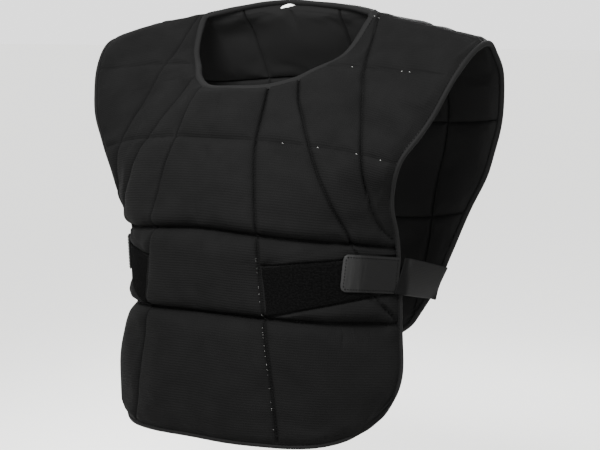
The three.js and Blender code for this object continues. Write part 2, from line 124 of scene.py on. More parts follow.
# %% Places on the chart
def place(across, row):
    """A point in the middle of the padding, in metres."""
    across, row = np.broadcast_arrays(np.asarray(across, float), np.asarray(row, float))
    side = np.abs(across).ravel()
    at = row.ravel() - FIRST_ROW
    here = {name: through(column[:, None], at) for name, column in SECTIONS.items()}
    depths = np.stack([here[name] for name in ("y1", "y0", "y1", "y2", "y3")])
    x = here["half"] * across.ravel()
    y = through(depths, 1 + 3 * side)
    z = here["z"] - here["drop"] * side ** here["bend"]
    return (np.stack([x, y, z], -1) * MM).reshape(*across.shape, 3)


def half_width(row):
    return through(SECTIONS["half"][:, None], row - FIRST_ROW) * MM


def unit(vectors):
    return vectors / np.linalg.norm(vectors, axis=-1, keepdims=True)


def outward(across, row):
    """The direction out of the vest at a point of the chart."""
    step = 0.01
    along = place(across, row + step) - place(across, row - step)
    over = place(across + step, row) - place(across - step, row)
    return unit(np.cross(along, over))


print("Height of the chart in mm:", round((place(0.4, 0)[2] - place(0, 8.9)[2]) / MM))

# %% [markdown]
# ## Slack in the cloth
# Sewn padding never lies on a perfectly even curve. A few long waves, each less than a millimetre high,
# are laid over the chart. Every piece uses the same waves, so tapes and straps stay on the cloth.

# %% Long soft waves
# Height in mm, waves across, waves along and phase
SOFT_WAVES = [(0.9, 5.1, 2.3, 0.4), (0.7, -7.7, 1.6, 2.1), (0.6, 11.3, 3.1, 4.0), (0.45, 3.4, -5.2, 1.2)]


def cloth(across, row):
    """A point in the middle of the padding, as the cloth really hangs."""
    across, row = np.broadcast_arrays(np.asarray(across, float), np.asarray(row, float))
    height = sum(high * np.sin(u * across + v * row + phase) for high, u, v, phase in SOFT_WAVES)
    return place(across, row) + outward(across, row) * (height * MM)[..., None]


print("All waves together stay within", sum(wave[0] for wave in SOFT_WAVES), "mm")

# %% [markdown]
# ## Quilting seams
# A cutter draws the seams on the flat cloth, and here they are drawn on the chart. The front has three
# upright seams on each side that fan out from the neck, and four level ones. The back has a plainer grid.
# Corners of a drawn seam are eased, because a sewing machine turns in a curve.

# %% Quilting seams
# Upright seams: rows, and how far across the seam lies there
INNER_SEAM = np.array([(2.2, .17), (2.6, .19), (4, .262), (5, .335), (6, .376), (7, .424), (9, .515)]).T
MIDDLE_SEAM = np.array([(2.2, .284), (3, .36), (4, .54), (5, .7), (6, .812), (6.7, .905), (6.95, 1)]).T
OUTER_SEAM = np.array([(0, .485), (1, .515), (2, .575), (3, .675), (4, .806), (5, .895), (5.55, .918),
                       (5.8, .938), (5.95, 1)]).T
BACK_INNER = 0.26
BACK_OUTER = np.array([(0, .72), (4.5, .72), (5.3, .76), (6.2, .83), (7, .88), (8, .9)]).T
# Level seams: the row in the middle, and how much the seam rises towards the edge
YOKE, CHEST, WAIST, BELLY = (1.98, 0.48), (3.97, 0), (6, -0.055), (7, 0.05)
BACK_LEVELS = [(3.77, 0.83), (5.63, 0.6), (6.7, 0.4)]
# A short level seam over the shoulder blades, and how far across it ends
BACK_YOKE, BACK_YOKE_END = (2.95, 0.35), 0.72
EASING = 0.12


def seam_at(seam, row):
    """How far across an upright seam lies at a row."""
    eased = [np.interp(row + shift, *seam) for shift in (-EASING, 0, 0, EASING)]
    return sum(eased) / len(eased)


def level_at(seam, across):
    return seam[0] - seam[1] * across


def back_level(seam, across):
    return seam[0] - seam[1] * across ** 3


def back_yoke(across):
    return BACK_YOKE[0] - BACK_YOKE[1] * np.minimum(across / BACK_YOKE_END, 1.1) ** 6


print("Seams on the front:", 2 * 3 + 4, "and on the back:", 2 * 2 + 1 + len(BACK_LEVELS))

# %% [markdown]
# ## Outline
# The sides and hems round off into each other at the lower corners, and the neckline runs down beside the
# neck and turns across the chest. Powers draw such round corners without many points. The loop patch is
# marked here as well, because the padding is flat under it.

# %% Outline and patch
NECK = {"shoulder": 0.448, "turn": 0.284, "turn_row": 2.2, "bottom_row": 2.65, "back_dip": 0.3}
FRONT_HEM = {"row": 8.9, "corner_row": 8.44, "corner": 0.935, "start": 7.2, "side": 3.3, "hem": 9}
BACK_HEM = {"row": 7.95, "corner_row": 7.5, "corner": 0.9, "start": 6.3, "side": 2.6, "hem": 6}
PATCH = {"from": 0.43, "to": 0.885, "top": 6.385, "top_rise": 0.4, "bottom": 6.955, "bottom_rise": 0.7}


def side_edge(hem, row):
    share = np.maximum(row - hem["start"], 0) / (hem["corner_row"] - hem["start"])
    return 1 - (1 - hem["corner"]) * share ** hem["side"]


def hem_row(hem, across):
    return hem["row"] - (hem["row"] - hem["corner_row"]) * (across / hem["corner"]) ** hem["hem"]


def neck_side(row):
    return mix(NECK["shoulder"], NECK["turn"], (np.clip(row, 0, None) / NECK["turn_row"]) ** 1.5)


def neck_bottom(across):
    return mix(NECK["bottom_row"], NECK["turn_row"], np.minimum(across / NECK["turn"], 1) ** 3.75)


def patch_top(across):
    return PATCH["top"] - PATCH["top_rise"] * np.maximum(across - PATCH["from"], 0)


def patch_bottom(across):
    return PATCH["bottom"] - PATCH["bottom_rise"] * np.maximum(across - PATCH["from"], 0)


print("Neck opening in mm:", round(2 * NECK["shoulder"] * half_width(np.zeros(1))[0] / MM), "wide")

# %% [markdown]
# ## Key lines of the mesh
# A quilted pad bends most sharply beside its seams, so a plain grid would need far too many points. Here
# the key lines of the mesh run along the seams and edges. Each function lists its panel's key lines, from
# the middle to the side or from the top to the hem.

# %% Key lines
# The bound edge's width, and how many rows it takes up at the neck, at the back's neck and at the hems
BOUND_EDGE = 10 * MM
NECK_RING, BACK_NECK_RING, HEM_RING = 0.24, 0.45, 0.135
# An outer seam stays this many bound edges away from the side
SEAM_TO_SIDE = 2.2


def front_columns(row):
    ring = BOUND_EDGE / half_width(row)
    edge = side_edge(FRONT_HEM, row)
    beside_neck = row < NECK["turn_row"]
    below_waist = np.clip((row - WAIST[0]) / (FRONT_HEM["row"] - WAIST[0]), 0, 1)
    seam = mix(seam_at(MIDDLE_SEAM, np.minimum(row, WAIST[0])), 0.7, below_waist)
    middle = np.where(beside_neck, neck_side(np.minimum(row, NECK["turn_row"])), seam)
    outer_seam = np.minimum(seam_at(OUTER_SEAM, row), edge - SEAM_TO_SIDE * ring)
    spread = mix(0.15, 0.45, np.clip((row - NECK["turn_row"]) / 1.5, 0, 1))
    inside_neck = np.where(beside_neck, middle + ring, mix(middle, outer_seam, spread))
    outer = np.maximum(outer_seam, inside_neck + ring / 2)
    return np.stack([0 * row, seam_at(INNER_SEAM, row), middle, inside_neck, outer, edge - ring, edge])


def front_rows(across):
    neck = neck_bottom(across)
    hem = hem_row(FRONT_HEM, across)
    yoke, chest, waist, belly = (level_at(seam, across) for seam in (YOKE, CHEST, WAIST, BELLY))
    upper = [0 * across, yoke, neck, neck + NECK_RING, chest, waist]
    return np.stack(upper + [patch_top(across), patch_bottom(across), belly, hem - HEM_RING, hem])


def back_columns(row):
    ring = BOUND_EDGE / half_width(row)
    edge = side_edge(BACK_HEM, -row)
    outer = np.minimum(seam_at(BACK_OUTER, -row), edge - SEAM_TO_SIDE * ring)
    return np.stack([0 * row, 0 * row + BACK_INNER, 0 * row + NECK["shoulder"], outer, edge - ring, edge])


def back_rows(across):
    top = NECK["back_dip"] * np.maximum(1 - (across / NECK["shoulder"]) ** 2, 0)
    hem = hem_row(BACK_HEM, across)
    levels = [back_yoke(across)] + [back_level(seam, across) for seam in BACK_LEVELS]
    return -np.stack([top, top + BACK_NECK_RING, *levels, hem - HEM_RING, hem])


print("Key rows of the front's middle:", front_rows(np.zeros(1))[:, 0].round(2).tolist())

# %% [markdown]
# ## Lines between the key lines
# The lines in between crowd towards both sides of every seam. Columns bend with the rows and rows bend
# with the columns, so where they cross is found by going back and forth until it settles. The cells inside
# the neck opening are left out.

# %% Lay out both panels
CROSSING_ROUNDS = 60
CROWD = 0.75


def line_positions(steps):
    """Positions counted in key lines, closer together beside each key line."""
    shares = [np.arange(count) / count for count in steps]
    eased = [share - CROWD * np.sin(2 * np.pi * share) / (2 * np.pi) for share in shares]
    return np.concatenate([key + share for key, share in enumerate(eased)] + [[len(steps)]])


def between(values, at):
    key = np.minimum(np.floor(at).astype(int), len(values) - 2)
    start, end = (np.take_along_axis(values, (key + k)[None], 0)[0] for k in range(2))
    return mix(start, end, at - key)


def lay_out(columns, rows, column_steps, row_steps, neck):
    """The chart places of a panel's mesh points. Neck is the column and row where its opening ends."""
    half = line_positions(column_steps)
    c, r = np.meshgrid(np.concatenate([-half[:0:-1], half]), line_positions(row_steps), indexing="ij")
    size = np.abs(c).ravel()
    across = np.full(size.shape, 0.5)
    for _ in range(CROSSING_ROUNDS):
        row = between(rows(across), r.ravel())
        across = between(columns(row), size)
    cell_c = (np.abs(c)[1:, 1:] + np.abs(c)[:-1, :-1]) / 2
    kept = (cell_c > neck[0]) | (r[1:, 1:] > neck[1] + 1e-6)
    across = across.reshape(c.shape) * np.where(c < 0, -1, 1)
    return {"c": c, "r": r, "across": across, "row": row.reshape(c.shape), "kept": kept}


front = lay_out(front_columns, front_rows, [12, 12, 6, 8, 8, 3], [13, 6, 3, 13, 18, 8, 9, 9, 22, 3], (2, 2))
back = lay_out(back_columns, back_rows, [12, 9, 12, 10, 3], [4, 18, 9, 18, 13, 14, 3], (0, 0))
print("Cells of one face, front and back:", front["kept"].sum(), back["kept"].sum())

# %% [markdown]
# ## Seams as paths
# Each seam becomes a row of points on the chart, from where its thread starts to where it ends. Creases
# and darts are paths as well: they are not sewn, but the cloth is pulled in along them. The shoulder seam
# is where both panels meet.

# %% Seams as paths
SEAM_SAMPLES = np.linspace(0, 1, 160)


def line_path(start, end):
    return tuple(mix(a, b, SEAM_SAMPLES) for a, b in zip(start, end))


def upright_path(seam, first, last):
    row = mix(first, last, SEAM_SAMPLES)
    return seam_at(seam, row), row


def level_path(seam, first, last):
    across = mix(first, last, SEAM_SAMPLES)
    return across, level_at(seam, np.abs(across))


def mirrored(paths):
    return paths + [(-across, row) for across, row in paths]


shoulder = mirrored([line_path((NECK["shoulder"], 0), (1, 0))])
front_uprights = mirrored([upright_path(INNER_SEAM, 2.55, 8.8), upright_path(MIDDLE_SEAM, 2.3, 6.9),
                           upright_path(OUTER_SEAM, 0.08, 5.9)])
faint_levels = mirrored([level_path(YOKE, 0.3, 1)]) + [level_path(CHEST, -1, 1)]
folds = [level_path(seam, -1, 1) for seam in (WAIST, BELLY)]
darts = mirrored([line_path((0.87, 6.645), (0.985, 6.885))])
creases = mirrored([line_path((0.42, 6.37), (0.8, 6.05))])
patch_span = mix(PATCH["from"] - 0.02, 1, SEAM_SAMPLES)
patch_edges = mirrored([(patch_span, patch_top(patch_span)), (patch_span, patch_bottom(patch_span))])
outer_across, outer_down = upright_path(BACK_OUTER, 0.08, 7.4)
back_seams = mirrored([line_path((BACK_INNER, -0.32), (BACK_INNER, -7.9)), (outer_across, -outer_down)])
blades = mix(-BACK_YOKE_END, BACK_YOKE_END, SEAM_SAMPLES)
over_back = mix(-1, 1, SEAM_SAMPLES)
back_seams += [(blades, -back_yoke(np.abs(blades)))]
back_seams += [(over_back, -back_level(seam, np.abs(over_back))) for seam in BACK_LEVELS]
print("Sewn paths:", len(front_uprights + faint_levels + folds), "and", len(back_seams))

# %% [markdown]
# ## Distances to seams and edges
# Quilting presses foam flat under the thread, and it rises again beside it. So every mesh point needs to
# know how far it lies from the nearest seam and from the nearest tape. A tree of points answers that
# quickly, where comparing every point with every other would take minutes.

# %% Distances to seams and edges
TAPE_COVER = 5 * MM


def nearest_finder(points):
    tree = KDTree(len(points))
    for index, point in enumerate(points):
        tree.insert(point, index)
    tree.balance()
    return tree


def distance_to(paths, points):
    """Distance from each point to the nearest of some curves on the chart."""
    tree = nearest_finder(np.concatenate([cloth(across, row) for across, row in paths]))
    return np.array([tree.find(point)[2] for point in points.reshape(-1, 3)]).reshape(points.shape[:-1])


def outline(panel, neck_column, neck_row):
    """The panel's outer edge, from shoulder to shoulder, and the part of the neckline it holds."""
    across, row, c, r = (panel[name] for name in ("across", "row", "c", "r"))
    left = (across[-1], row[-1])
    hem = (across[::-1, -1], row[::-1, -1])
    right = (across[0, ::-1], row[0, ::-1])
    edge = tuple(np.concatenate([a, b[1:], d[1:]]) for a, b, d in zip(left, hem, right))
    ci, cj = (np.argmin(np.abs(c[:, 0] - key)) for key in (neck_column, -neck_column))
    rk = np.argmin(np.abs(r[0] - neck_row))
    down = (across[ci, :rk], row[ci, :rk])
    over = (across[cj:ci + 1, rk][::-1], row[cj:ci + 1, rk][::-1])
    up = (across[cj, :rk][::-1], row[cj, :rk][::-1])
    return edge, tuple(np.concatenate(parts) for parts in zip(down, over, up))


front_edge, front_neck = outline(front, 2, 2)
back_edge, back_neck = outline(back, 2, 0)
front_points = cloth(front["across"], front["row"])
back_points = cloth(back["across"], back["row"])
far = {
    "upright": distance_to(front_uprights + patch_edges + shoulder, front_points),
    "faint": distance_to(faint_levels, front_points),
    "fold": distance_to(folds, front_points),
    "edge": np.maximum(distance_to([front_edge, front_neck], front_points) - TAPE_COVER, 0),
    "back": distance_to(back_seams + shoulder, back_points),
    "back_edge": np.maximum(distance_to([back_edge, back_neck], back_points) - TAPE_COVER, 0),
}
print("Widest pad, half of it in mm:", round(far["upright"].max() / MM))

# %% [markdown]
# ## Flat places
# Under the loop patch, the tab and the strap the foam is pressed flat, so that those pieces lie on it.
# Each such place is a mask on the chart: 1 inside, 0 outside, and a short soft slope between, because foam
# does not step.

# %% Flat places under patch, tab and strap
def ramp(value, first, last):
    """A soft rise from 0 at the first value to 1 at the last one."""
    share = np.clip((value - first) / (last - first), 0, 1)
    return share * share * (3 - 2 * share)


front_side, back_side = np.abs(front["across"]), np.abs(back["across"])
patch_zone = ramp(front["row"], patch_top(front_side), patch_top(front_side) + 0.04)
patch_zone *= ramp(-front["row"], -patch_bottom(front_side), -patch_bottom(front_side) + 0.04)
patch_zone *= ramp(front_side - seam_at(INNER_SEAM, front["row"]), 0.008, 0.02)
patch_zone *= ramp(-front_side, -PATCH["to"] - 0.03, -PATCH["to"] - 0.01)
tab_zone = ramp(front_side, 0.72, 0.77) * ramp(front["row"], 6.02, 6.1) * ramp(-front["row"], -6.72, -6.64)
strap_zone = ramp(back_side, 0.66, 0.72) * ramp(-back["row"], 6.1, 6.25) * ramp(back["row"], -7.1, -6.98)
print("Points pressed flat:", (patch_zone + tab_zone > 0.5).sum(), "and", (strap_zone > 0.5).sum())

# %% [markdown]
# ## Foam heights
# The foam lies on both sides of the middle surface, and more of it outside, because the body presses on
# the inside. Beside a seam it rises in a quarter of an ellipse. The seams differ: the upright ones are
# tight, those of the yoke and chest only dent the foam, and the folds go deep. The lowest of all these
# limits holds at each point.

# %% Heights of the outer and inner faces
PAD_HEIGHT, LINING_HEIGHT, BOUND_HEIGHT = 7 * MM, 4.4 * MM, 1.2 * MM
# The share of its height that a pad keeps on a seam, and how far from the seam it is whole again
TIGHT, FAINT, FOLDED, BACK_TIGHT = (0.3, 9 * MM), (0.7, 10 * MM), (0.15, 13 * MM), (0.3, 10 * MM)
EDGE_RISE = 11 * MM
FRONT_SHOULDER, BACK_SHOULDER = 4 * MM, 3.5 * MM
UNDER_PATCH, UNDER_TAB, UNDER_STRAP = 3 * MM, 3.6 * MM, 4.2 * MM


def swell(distance, rise):
    """From 0 on a seam to 1 at the rise's distance, in a quarter of an ellipse."""
    share = np.clip(distance / rise, 0, 1)
    return np.sqrt(1 - (1 - share) ** 2)


def beside(seam, distance):
    kept, rise = seam
    return mix(kept, 1, swell(distance, rise))


def front_heights(pad):
    seams = [beside(TIGHT, far["upright"]), beside(FAINT, far["faint"]), beside(FOLDED, far["fold"])]
    height = np.minimum.reduce(seams) * pad
    height = np.minimum(height, mix(BOUND_HEIGHT, pad, swell(far["edge"], EDGE_RISE)))
    height = np.minimum(height, mix(FRONT_SHOULDER, pad, ramp(front["row"], 0.2, 1.4)))
    height = mix(height, UNDER_PATCH, patch_zone)
    return np.minimum(height, mix(pad, UNDER_TAB, tab_zone))


def back_heights(pad):
    height = beside(BACK_TIGHT, far["back"]) * pad
    height = np.minimum(height, mix(BOUND_HEIGHT, pad, swell(far["back_edge"], EDGE_RISE)))
    height = np.minimum(height, mix(BACK_SHOULDER, pad, ramp(-back["row"], 0.4, 2)))
    return np.minimum(height, mix(pad, UNDER_STRAP, strap_zone))


front_outer, front_inner = front_heights(PAD_HEIGHT), front_heights(LINING_HEIGHT)
back_outer, back_inner = back_heights(PAD_HEIGHT), back_heights(LINING_HEIGHT)
print("Thickest padding of the back in mm:", round((back_outer + back_inner).max() / MM, 1))

# %% [markdown]
# ## Folds at waist and belly
# The wearer bends at the waist and belly seams, so there the cloth dips into a fold. The pad above the
# fold bulges and sags over it. All three fade out near the bound edges and the flat places, which are
# stiffer.

# %% Folds at waist and belly
FOLD_DEPTH, FOLD_BULGE, FOLD_SAG = 5 * MM, 2.5 * MM, 1.2 * MM
ROWS_ABOVE_FOLD = 0.6
NO_FOLD = 9


def near(distance, width):
    """From 1 at no distance down to 0, in a bell curve."""
    return np.exp(-(distance / width) ** 2)


front_flat = np.minimum(patch_zone + tab_zone, 1)
free = ramp(far["edge"], 0, 25 * MM) * (1 - front_flat)
fold_depth = FOLD_DEPTH * near(far["fold"], 8 * MM) * free
rows_off = [front["row"] - level_at(seam, front_side) for seam in (WAIST, BELLY)]
above = np.minimum(*[np.where(off < 0, -off, NO_FOLD) for off in rows_off]) < ROWS_ABOVE_FOLD
front_outer += np.where(above, FOLD_BULGE * near(far["fold"] - 9 * MM, 7 * MM), 0) * free
front["sag"] = np.where(above, FOLD_SAG * near(far["fold"] - 6 * MM, 4 * MM), 0) * free
back["sag"] = 0 * back_outer
print("Thickest padding of the front in mm:", round((front_outer + front_inner).max() / MM, 1))

# %% [markdown]
# ## Finishes
# Materials come before the pieces that wear them. Colours are written as sRGB hex, as a colour picker
# shows them, and one function turns them into the linear numbers that shaders work with. One more function
# adds any node with its settings and links. Patterns follow the texture coordinates of a piece, which are
# lengths on its cloth in metres, so each pattern can be sized in millimetres.

# %% Helpers for materials
def linear(hex_colour):
    parts = [int(hex_colour[i:i + 2], 16) / 255 for i in (1, 3, 5)]
    return [p / 12.92 if p <= 0.04045 else ((p + 0.055) / 1.055) ** 2.4 for p in parts] + [1]


def add_node(tree, kind, sockets, **settings):
    """Adds a node. Each entry of sockets is a value, or the output that feeds it."""
    node = tree.nodes.new(kind)
    for name, value in settings.items():
        setattr(node, name, value)
    for name, value in sockets.items():
        if isinstance(value, bpy.types.NodeSocket):
            tree.links.new(value, node.inputs[name])
        else:
            node.inputs[name].default_value = value
    return node


def start_material(name):
    """A material without any nodes yet, and its node tree."""
    material = bpy.data.materials.new(name)
    material.use_nodes = True
    material.node_tree.nodes.clear()
    return material, material.node_tree


def finish_material(tree, shader):
    add_node(tree, "ShaderNodeOutputMaterial", {"Surface": shader.outputs["BSDF"]})
    print("Nodes in the finish:", len(tree.nodes))


def wave_scale(pitch):
    """A wave texture's scale for stripes that repeat at a pitch in metres."""
    return math.pi / (10 * pitch)


print("Stripes 2 mm apart need a scale of", round(wave_scale(2 * MM)))

# %% [markdown]
# ### Knitted mesh
# The cover is polyester knitted into a fine ribbed mesh. Polyester yarn is a plastic, with an index of
# about 1.5, but thousands of loose fibres scatter the light, so the cloth is rough and shows a soft sheen
# where it turns away. The ribs lie level, 2.6 mm apart, and the knit between them is about 1 mm, drawn as
# 1.6 mm so that it survives in a small picture.

# %% Knitted mesh
knit, tree = start_material("knitted_polyester_mesh")
chart = add_node(tree, "ShaderNodeTexCoord", {}).outputs["UV"]
ribs = add_node(tree, "ShaderNodeTexWave", {
    "Vector": chart, "Scale": wave_scale(2.6 * MM), "Distortion": 1.8, "Detail": 2, "Detail Scale": 2.2},
    bands_direction="Y")
loops = add_node(tree, "ShaderNodeTexWave", {
    "Vector": chart, "Scale": wave_scale(1.6 * MM), "Distortion": 2.5, "Detail": 1, "Detail Scale": 1.2},
    bands_direction="X")
wear = add_node(tree, "ShaderNodeTexNoise", {"Vector": chart, "Scale": 1 / (28 * MM), "Detail": 3})
tone = add_node(tree, "ShaderNodeValToRGB", {"Fac": wear.outputs["Fac"]})
for stop, position, colour in zip(tone.color_ramp.elements, (0.3, 0.7), ("#080808", "#0a0a0a")):
    stop.position, stop.color = position, linear(colour)
knit_bump = add_node(tree, "ShaderNodeBump", {
    "Height": loops.outputs["Fac"], "Strength": 0.35, "Distance": 0.25 * MM})
rib_bump = add_node(tree, "ShaderNodeBump", {
    "Height": ribs.outputs["Fac"], "Strength": 0.6, "Distance": 0.35 * MM,
    "Normal": knit_bump.outputs["Normal"]})
# Loose fibres: nearly no gloss, and a grey sheen along every pad's rim
finish_material(tree, add_node(tree, "ShaderNodeBsdfPrincipled", {
    "Base Color": tone.outputs["Color"], "Roughness": 0.85, "IOR": 1.5, "Specular IOR Level": 0.02,
    "Sheen Weight": 0.006, "Sheen Roughness": 0.45, "Sheen Tint": linear("#9c9c9c"),
    "Normal": rib_bump.outputs["Normal"]}))

# %% [markdown]
# ### Lining
# The inside is a warp-knitted polyester lining, brushed so that it is soft on the wearer's shirt. The
# brushed fibres hold more light than the mesh does, so it reads as a slightly greyer black. It needs no
# piece of its own: it is the finish of the panels' inner faces.

# %% Lining
lining, tree = start_material("brushed_polyester_lining")
chart = add_node(tree, "ShaderNodeTexCoord", {}).outputs["UV"]
nap = add_node(tree, "ShaderNodeTexNoise", {"Vector": chart, "Scale": 1 / (2.2 * MM), "Detail": 2})
nap_bump = add_node(tree, "ShaderNodeBump", {
    "Height": nap.outputs["Fac"], "Strength": 0.3, "Distance": 0.3 * MM})
# Short raised fibres: fully matt, with no pattern to speak of
finish_material(tree, add_node(tree, "ShaderNodeBsdfPrincipled", {
    "Base Color": linear("#101010"), "Roughness": 0.95, "IOR": 1.5, "Specular IOR Level": 0.02,
    "Sheen Weight": 0.01, "Sheen Tint": linear("#9c9c9c"), "Normal": nap_bump.outputs["Normal"]}))

# %% [markdown]
# ### Binding tape
# The binding is a soft woven polyester tape, cut from a roll and folded by the machine. Its yarns are
# about half a millimetre apart, drawn as 1.5 mm so that they show. They run diagonally, because tape that
# has to follow a curve is often cut on the slant.

# %% Binding tape
tape, tree = start_material("woven_polyester_tape")
chart = add_node(tree, "ShaderNodeTexCoord", {}).outputs["UV"]
yarns = add_node(tree, "ShaderNodeTexWave", {
    "Vector": chart, "Scale": wave_scale(1.5 * MM), "Distortion": 1.5, "Detail": 1, "Detail Scale": 1.5},
    bands_direction="DIAGONAL")
weave_bump = add_node(tree, "ShaderNodeBump", {
    "Height": yarns.outputs["Fac"], "Strength": 0.3, "Distance": 0.2 * MM})
# Fine even weave: a little smoother than the mesh, so the roll catches a soft light
finish_material(tree, add_node(tree, "ShaderNodeBsdfPrincipled", {
    "Base Color": linear("#0d0d0d"), "Roughness": 0.7, "IOR": 1.5, "Specular IOR Level": 0.03,
    "Sheen Weight": 0.008, "Sheen Roughness": 0.4, "Sheen Tint": linear("#a8a8ae"),
    "Normal": weave_bump.outputs["Normal"]}))

# %% [markdown]
# ### Hook tape
# The tab shows the back of its hook tape, a dense nylon weave that is pressed smooth and glossier than the
# cloth. A gradient along the tape, streaked by a stretched noise, paints a highlight: the free end is
# painted paler, which makes the tab the brightest black of the vest. The warp is drawn as 1.8 mm, coarser
# than it is, so that it shows.

# %% Hook tape
# Length of the painted highlight at the free end, and the size of its painted streaks
HIGHLIGHT_LENGTH = 46 * MM
HIGHLIGHT_STREAK_WIDE, HIGHLIGHT_STREAK_LONG = 4 * MM, 40 * MM
hook, tree = start_material("nylon_hook_tape_back")
chart = add_node(tree, "ShaderNodeTexCoord", {}).outputs["UV"]
warp = add_node(tree, "ShaderNodeTexWave", {
    "Vector": chart, "Scale": wave_scale(1.8 * MM), "Distortion": 1, "Detail": 1, "Detail Scale": 1.5},
    bands_direction="Y")
upright = add_node(tree, "ShaderNodeMapping", {
    "Vector": chart, "Scale": (1 / HIGHLIGHT_STREAK_WIDE, 1 / HIGHLIGHT_STREAK_LONG, 1)})
streak_noise = add_node(tree, "ShaderNodeTexNoise", {"Vector": upright.outputs["Vector"], "Scale": 1, "Detail": 2})
along = add_node(tree, "ShaderNodeSeparateXYZ", {"Vector": chart}).outputs["X"]
# Painted highlight: the colour grows paler towards the free end and is streaked upright, in place of light
# on the tab
painted_highlight_ramp = add_node(tree, "ShaderNodeMapRange", {"Value": along, "From Max": HIGHLIGHT_LENGTH})
streaked_highlight = add_node(tree, "ShaderNodeMath", {
    0: streak_noise.outputs["Fac"], 1: 0.5, 2: painted_highlight_ramp.outputs["Result"]}, operation="MULTIPLY_ADD")
tone = add_node(tree, "ShaderNodeValToRGB", {"Fac": streaked_highlight.outputs["Value"]})
# The pale stop is the painted highlight, and the dark stop is the tab's own black
for stop, position, colour in zip(tone.color_ramp.elements, (0.2, 0.8), ("#1a1a1a", "#080808")):
    stop.position, stop.color = position, linear(colour)
warp_bump = add_node(tree, "ShaderNodeBump", {
    "Height": warp.outputs["Fac"], "Strength": 0.25, "Distance": 0.15 * MM})
# Pressed nylon: a satin gloss, with a painted highlight that makes the free end brighter
finish_material(tree, add_node(tree, "ShaderNodeBsdfPrincipled", {
    "Base Color": tone.outputs["Color"], "Roughness": 0.45, "IOR": 1.53, "Specular IOR Level": 0.05,
    "Sheen Weight": 0.004, "Normal": warp_bump.outputs["Normal"]}))

# %% [markdown]
# ### Elastic webbing
# The straps are rubber cords woven into polyester. When the weave relaxes, the cords pull it into fine
# ribs along the strap. They are about a millimetre apart on such webbing, and drawn as 1.7 mm so that they
# show.

# %% Elastic webbing
elastic, tree = start_material("ribbed_elastic_webbing")
chart = add_node(tree, "ShaderNodeTexCoord", {}).outputs["UV"]
cords = add_node(tree, "ShaderNodeTexWave", {
    "Vector": chart, "Scale": wave_scale(1.7 * MM), "Distortion": 0.6, "Detail": 1, "Detail Scale": 1.5},
    bands_direction="Y")
cord_bump = add_node(tree, "ShaderNodeBump", {
    "Height": cords.outputs["Fac"], "Strength": 0.4, "Distance": 0.2 * MM})
# Covered rubber cords: matt, with fine lines along the strap
finish_material(tree, add_node(tree, "ShaderNodeBsdfPrincipled", {
    "Base Color": linear("#060606"), "Roughness": 0.7, "IOR": 1.52, "Specular IOR Level": 0.02,
    "Sheen Weight": 0.004, "Sheen Tint": linear("#a0a0a6"), "Normal": cord_bump.outputs["Normal"]}))

# %% [markdown]
# ### Loop pile
# The loop tape is a nylon pile, brushed until its loops stand up for the hooks to catch. A deep pile
# swallows light, so the patch is the darkest place of the vest. Its tufts are drawn 1.7 mm wide so that
# they show.

# %% Loop pile
pile, tree = start_material("brushed_nylon_loop_pile")
chart = add_node(tree, "ShaderNodeTexCoord", {}).outputs["UV"]
tufts = add_node(tree, "ShaderNodeTexNoise", {"Vector": chart, "Scale": 1 / (1.7 * MM), "Detail": 3})
tone = add_node(tree, "ShaderNodeValToRGB", {"Fac": tufts.outputs["Fac"]})
for stop, position, colour in zip(tone.color_ramp.elements, (0.42, 0.68), ("#030303", "#060606")):
    stop.position, stop.color = position, linear(colour)
tuft_bump = add_node(tree, "ShaderNodeBump", {
    "Height": tufts.outputs["Fac"], "Strength": 0.9, "Distance": 0.8 * MM})
# Deep pile: no gloss at all, mottled because the loops lean every way
finish_material(tree, add_node(tree, "ShaderNodeBsdfPrincipled", {
    "Base Color": tone.outputs["Color"], "Roughness": 1, "IOR": 1.53, "Specular IOR Level": 0.01,
    "Normal": tuft_bump.outputs["Normal"]}))

# %% [markdown]
# ### Threads and label
# The sewing thread is spun polyester dyed black, and a few hand stitches use a pale one. The label is
# white polyester satin. All three are so small in the picture that one even colour is enough for each.

# %% Threads and label
thread, tree = start_material("spun_polyester_thread")
# Twisted yarn: slightly glossier than the cloth it sinks into
finish_material(tree, add_node(tree, "ShaderNodeBsdfPrincipled", {
    "Base Color": linear("#040404"), "Roughness": 0.6, "IOR": 1.5, "Specular IOR Level": 0.03}))
tacking, tree = start_material("pale_tacking_thread")
# The same yarn left undyed, so each tack shows as a pale dot
finish_material(tree, add_node(tree, "ShaderNodeBsdfPrincipled", {
    "Base Color": linear("#5c5c5a"), "Roughness": 0.6, "IOR": 1.5, "Sheen Weight": 0.15}))
satin, tree = start_material("white_polyester_satin")
# Satin weave: long floating yarns lie flat, so it is smooth and bright
finish_material(tree, add_node(tree, "ShaderNodeBsdfPrincipled", {
    "Base Color": linear("#f2f2f0"), "Roughness": 0.4, "IOR": 1.5, "Sheen Weight": 0.1}))

# %% [markdown]
# ## From points to pieces
# Every piece of the vest is a mesh that is worked out point by point, because cloth has no box or cylinder
# to start from. One function makes the object, turns its faces outward, gives it texture coordinates in
# metres of cloth, and tells the frame which CAD part it stands for.

# %% Make a piece
pieces = {}


def add_piece(name, points, faces, material, coordinates, nodes):
    """Makes one mesh piece of the vest, turned outward, and tells the frame what it stands for."""
    fans = np.array([(face[0], face[k], face[k + 1]) for face in faces for k in range(1, len(face) - 1)])
    a, b, c = (points[fans[:, k]] for k in range(3))
    if (a * np.cross(b, c)).sum() < 0:
        faces = [face[::-1] for face in faces]
    mesh = bpy.data.meshes.new(name)
    mesh.from_pydata(points.tolist(), [], faces)
    mesh.validate()
    layer = mesh.uv_layers.new(name="cloth")
    corner_points = np.empty(len(mesh.loops), int)
    mesh.loops.foreach_get("vertex_index", corner_points)
    layer.data.foreach_set("uv", coordinates[corner_points].ravel())
    mesh.shade_smooth()
    mesh.materials.append(material)
    piece = bpy.data.objects.new(name, mesh)
    bpy.context.scene.collection.objects.link(piece)
    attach(piece, "root")
    if nodes:
        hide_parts(*nodes)
    pieces[name] = piece
    print(name, "has", len(mesh.vertices), "points")
    return piece


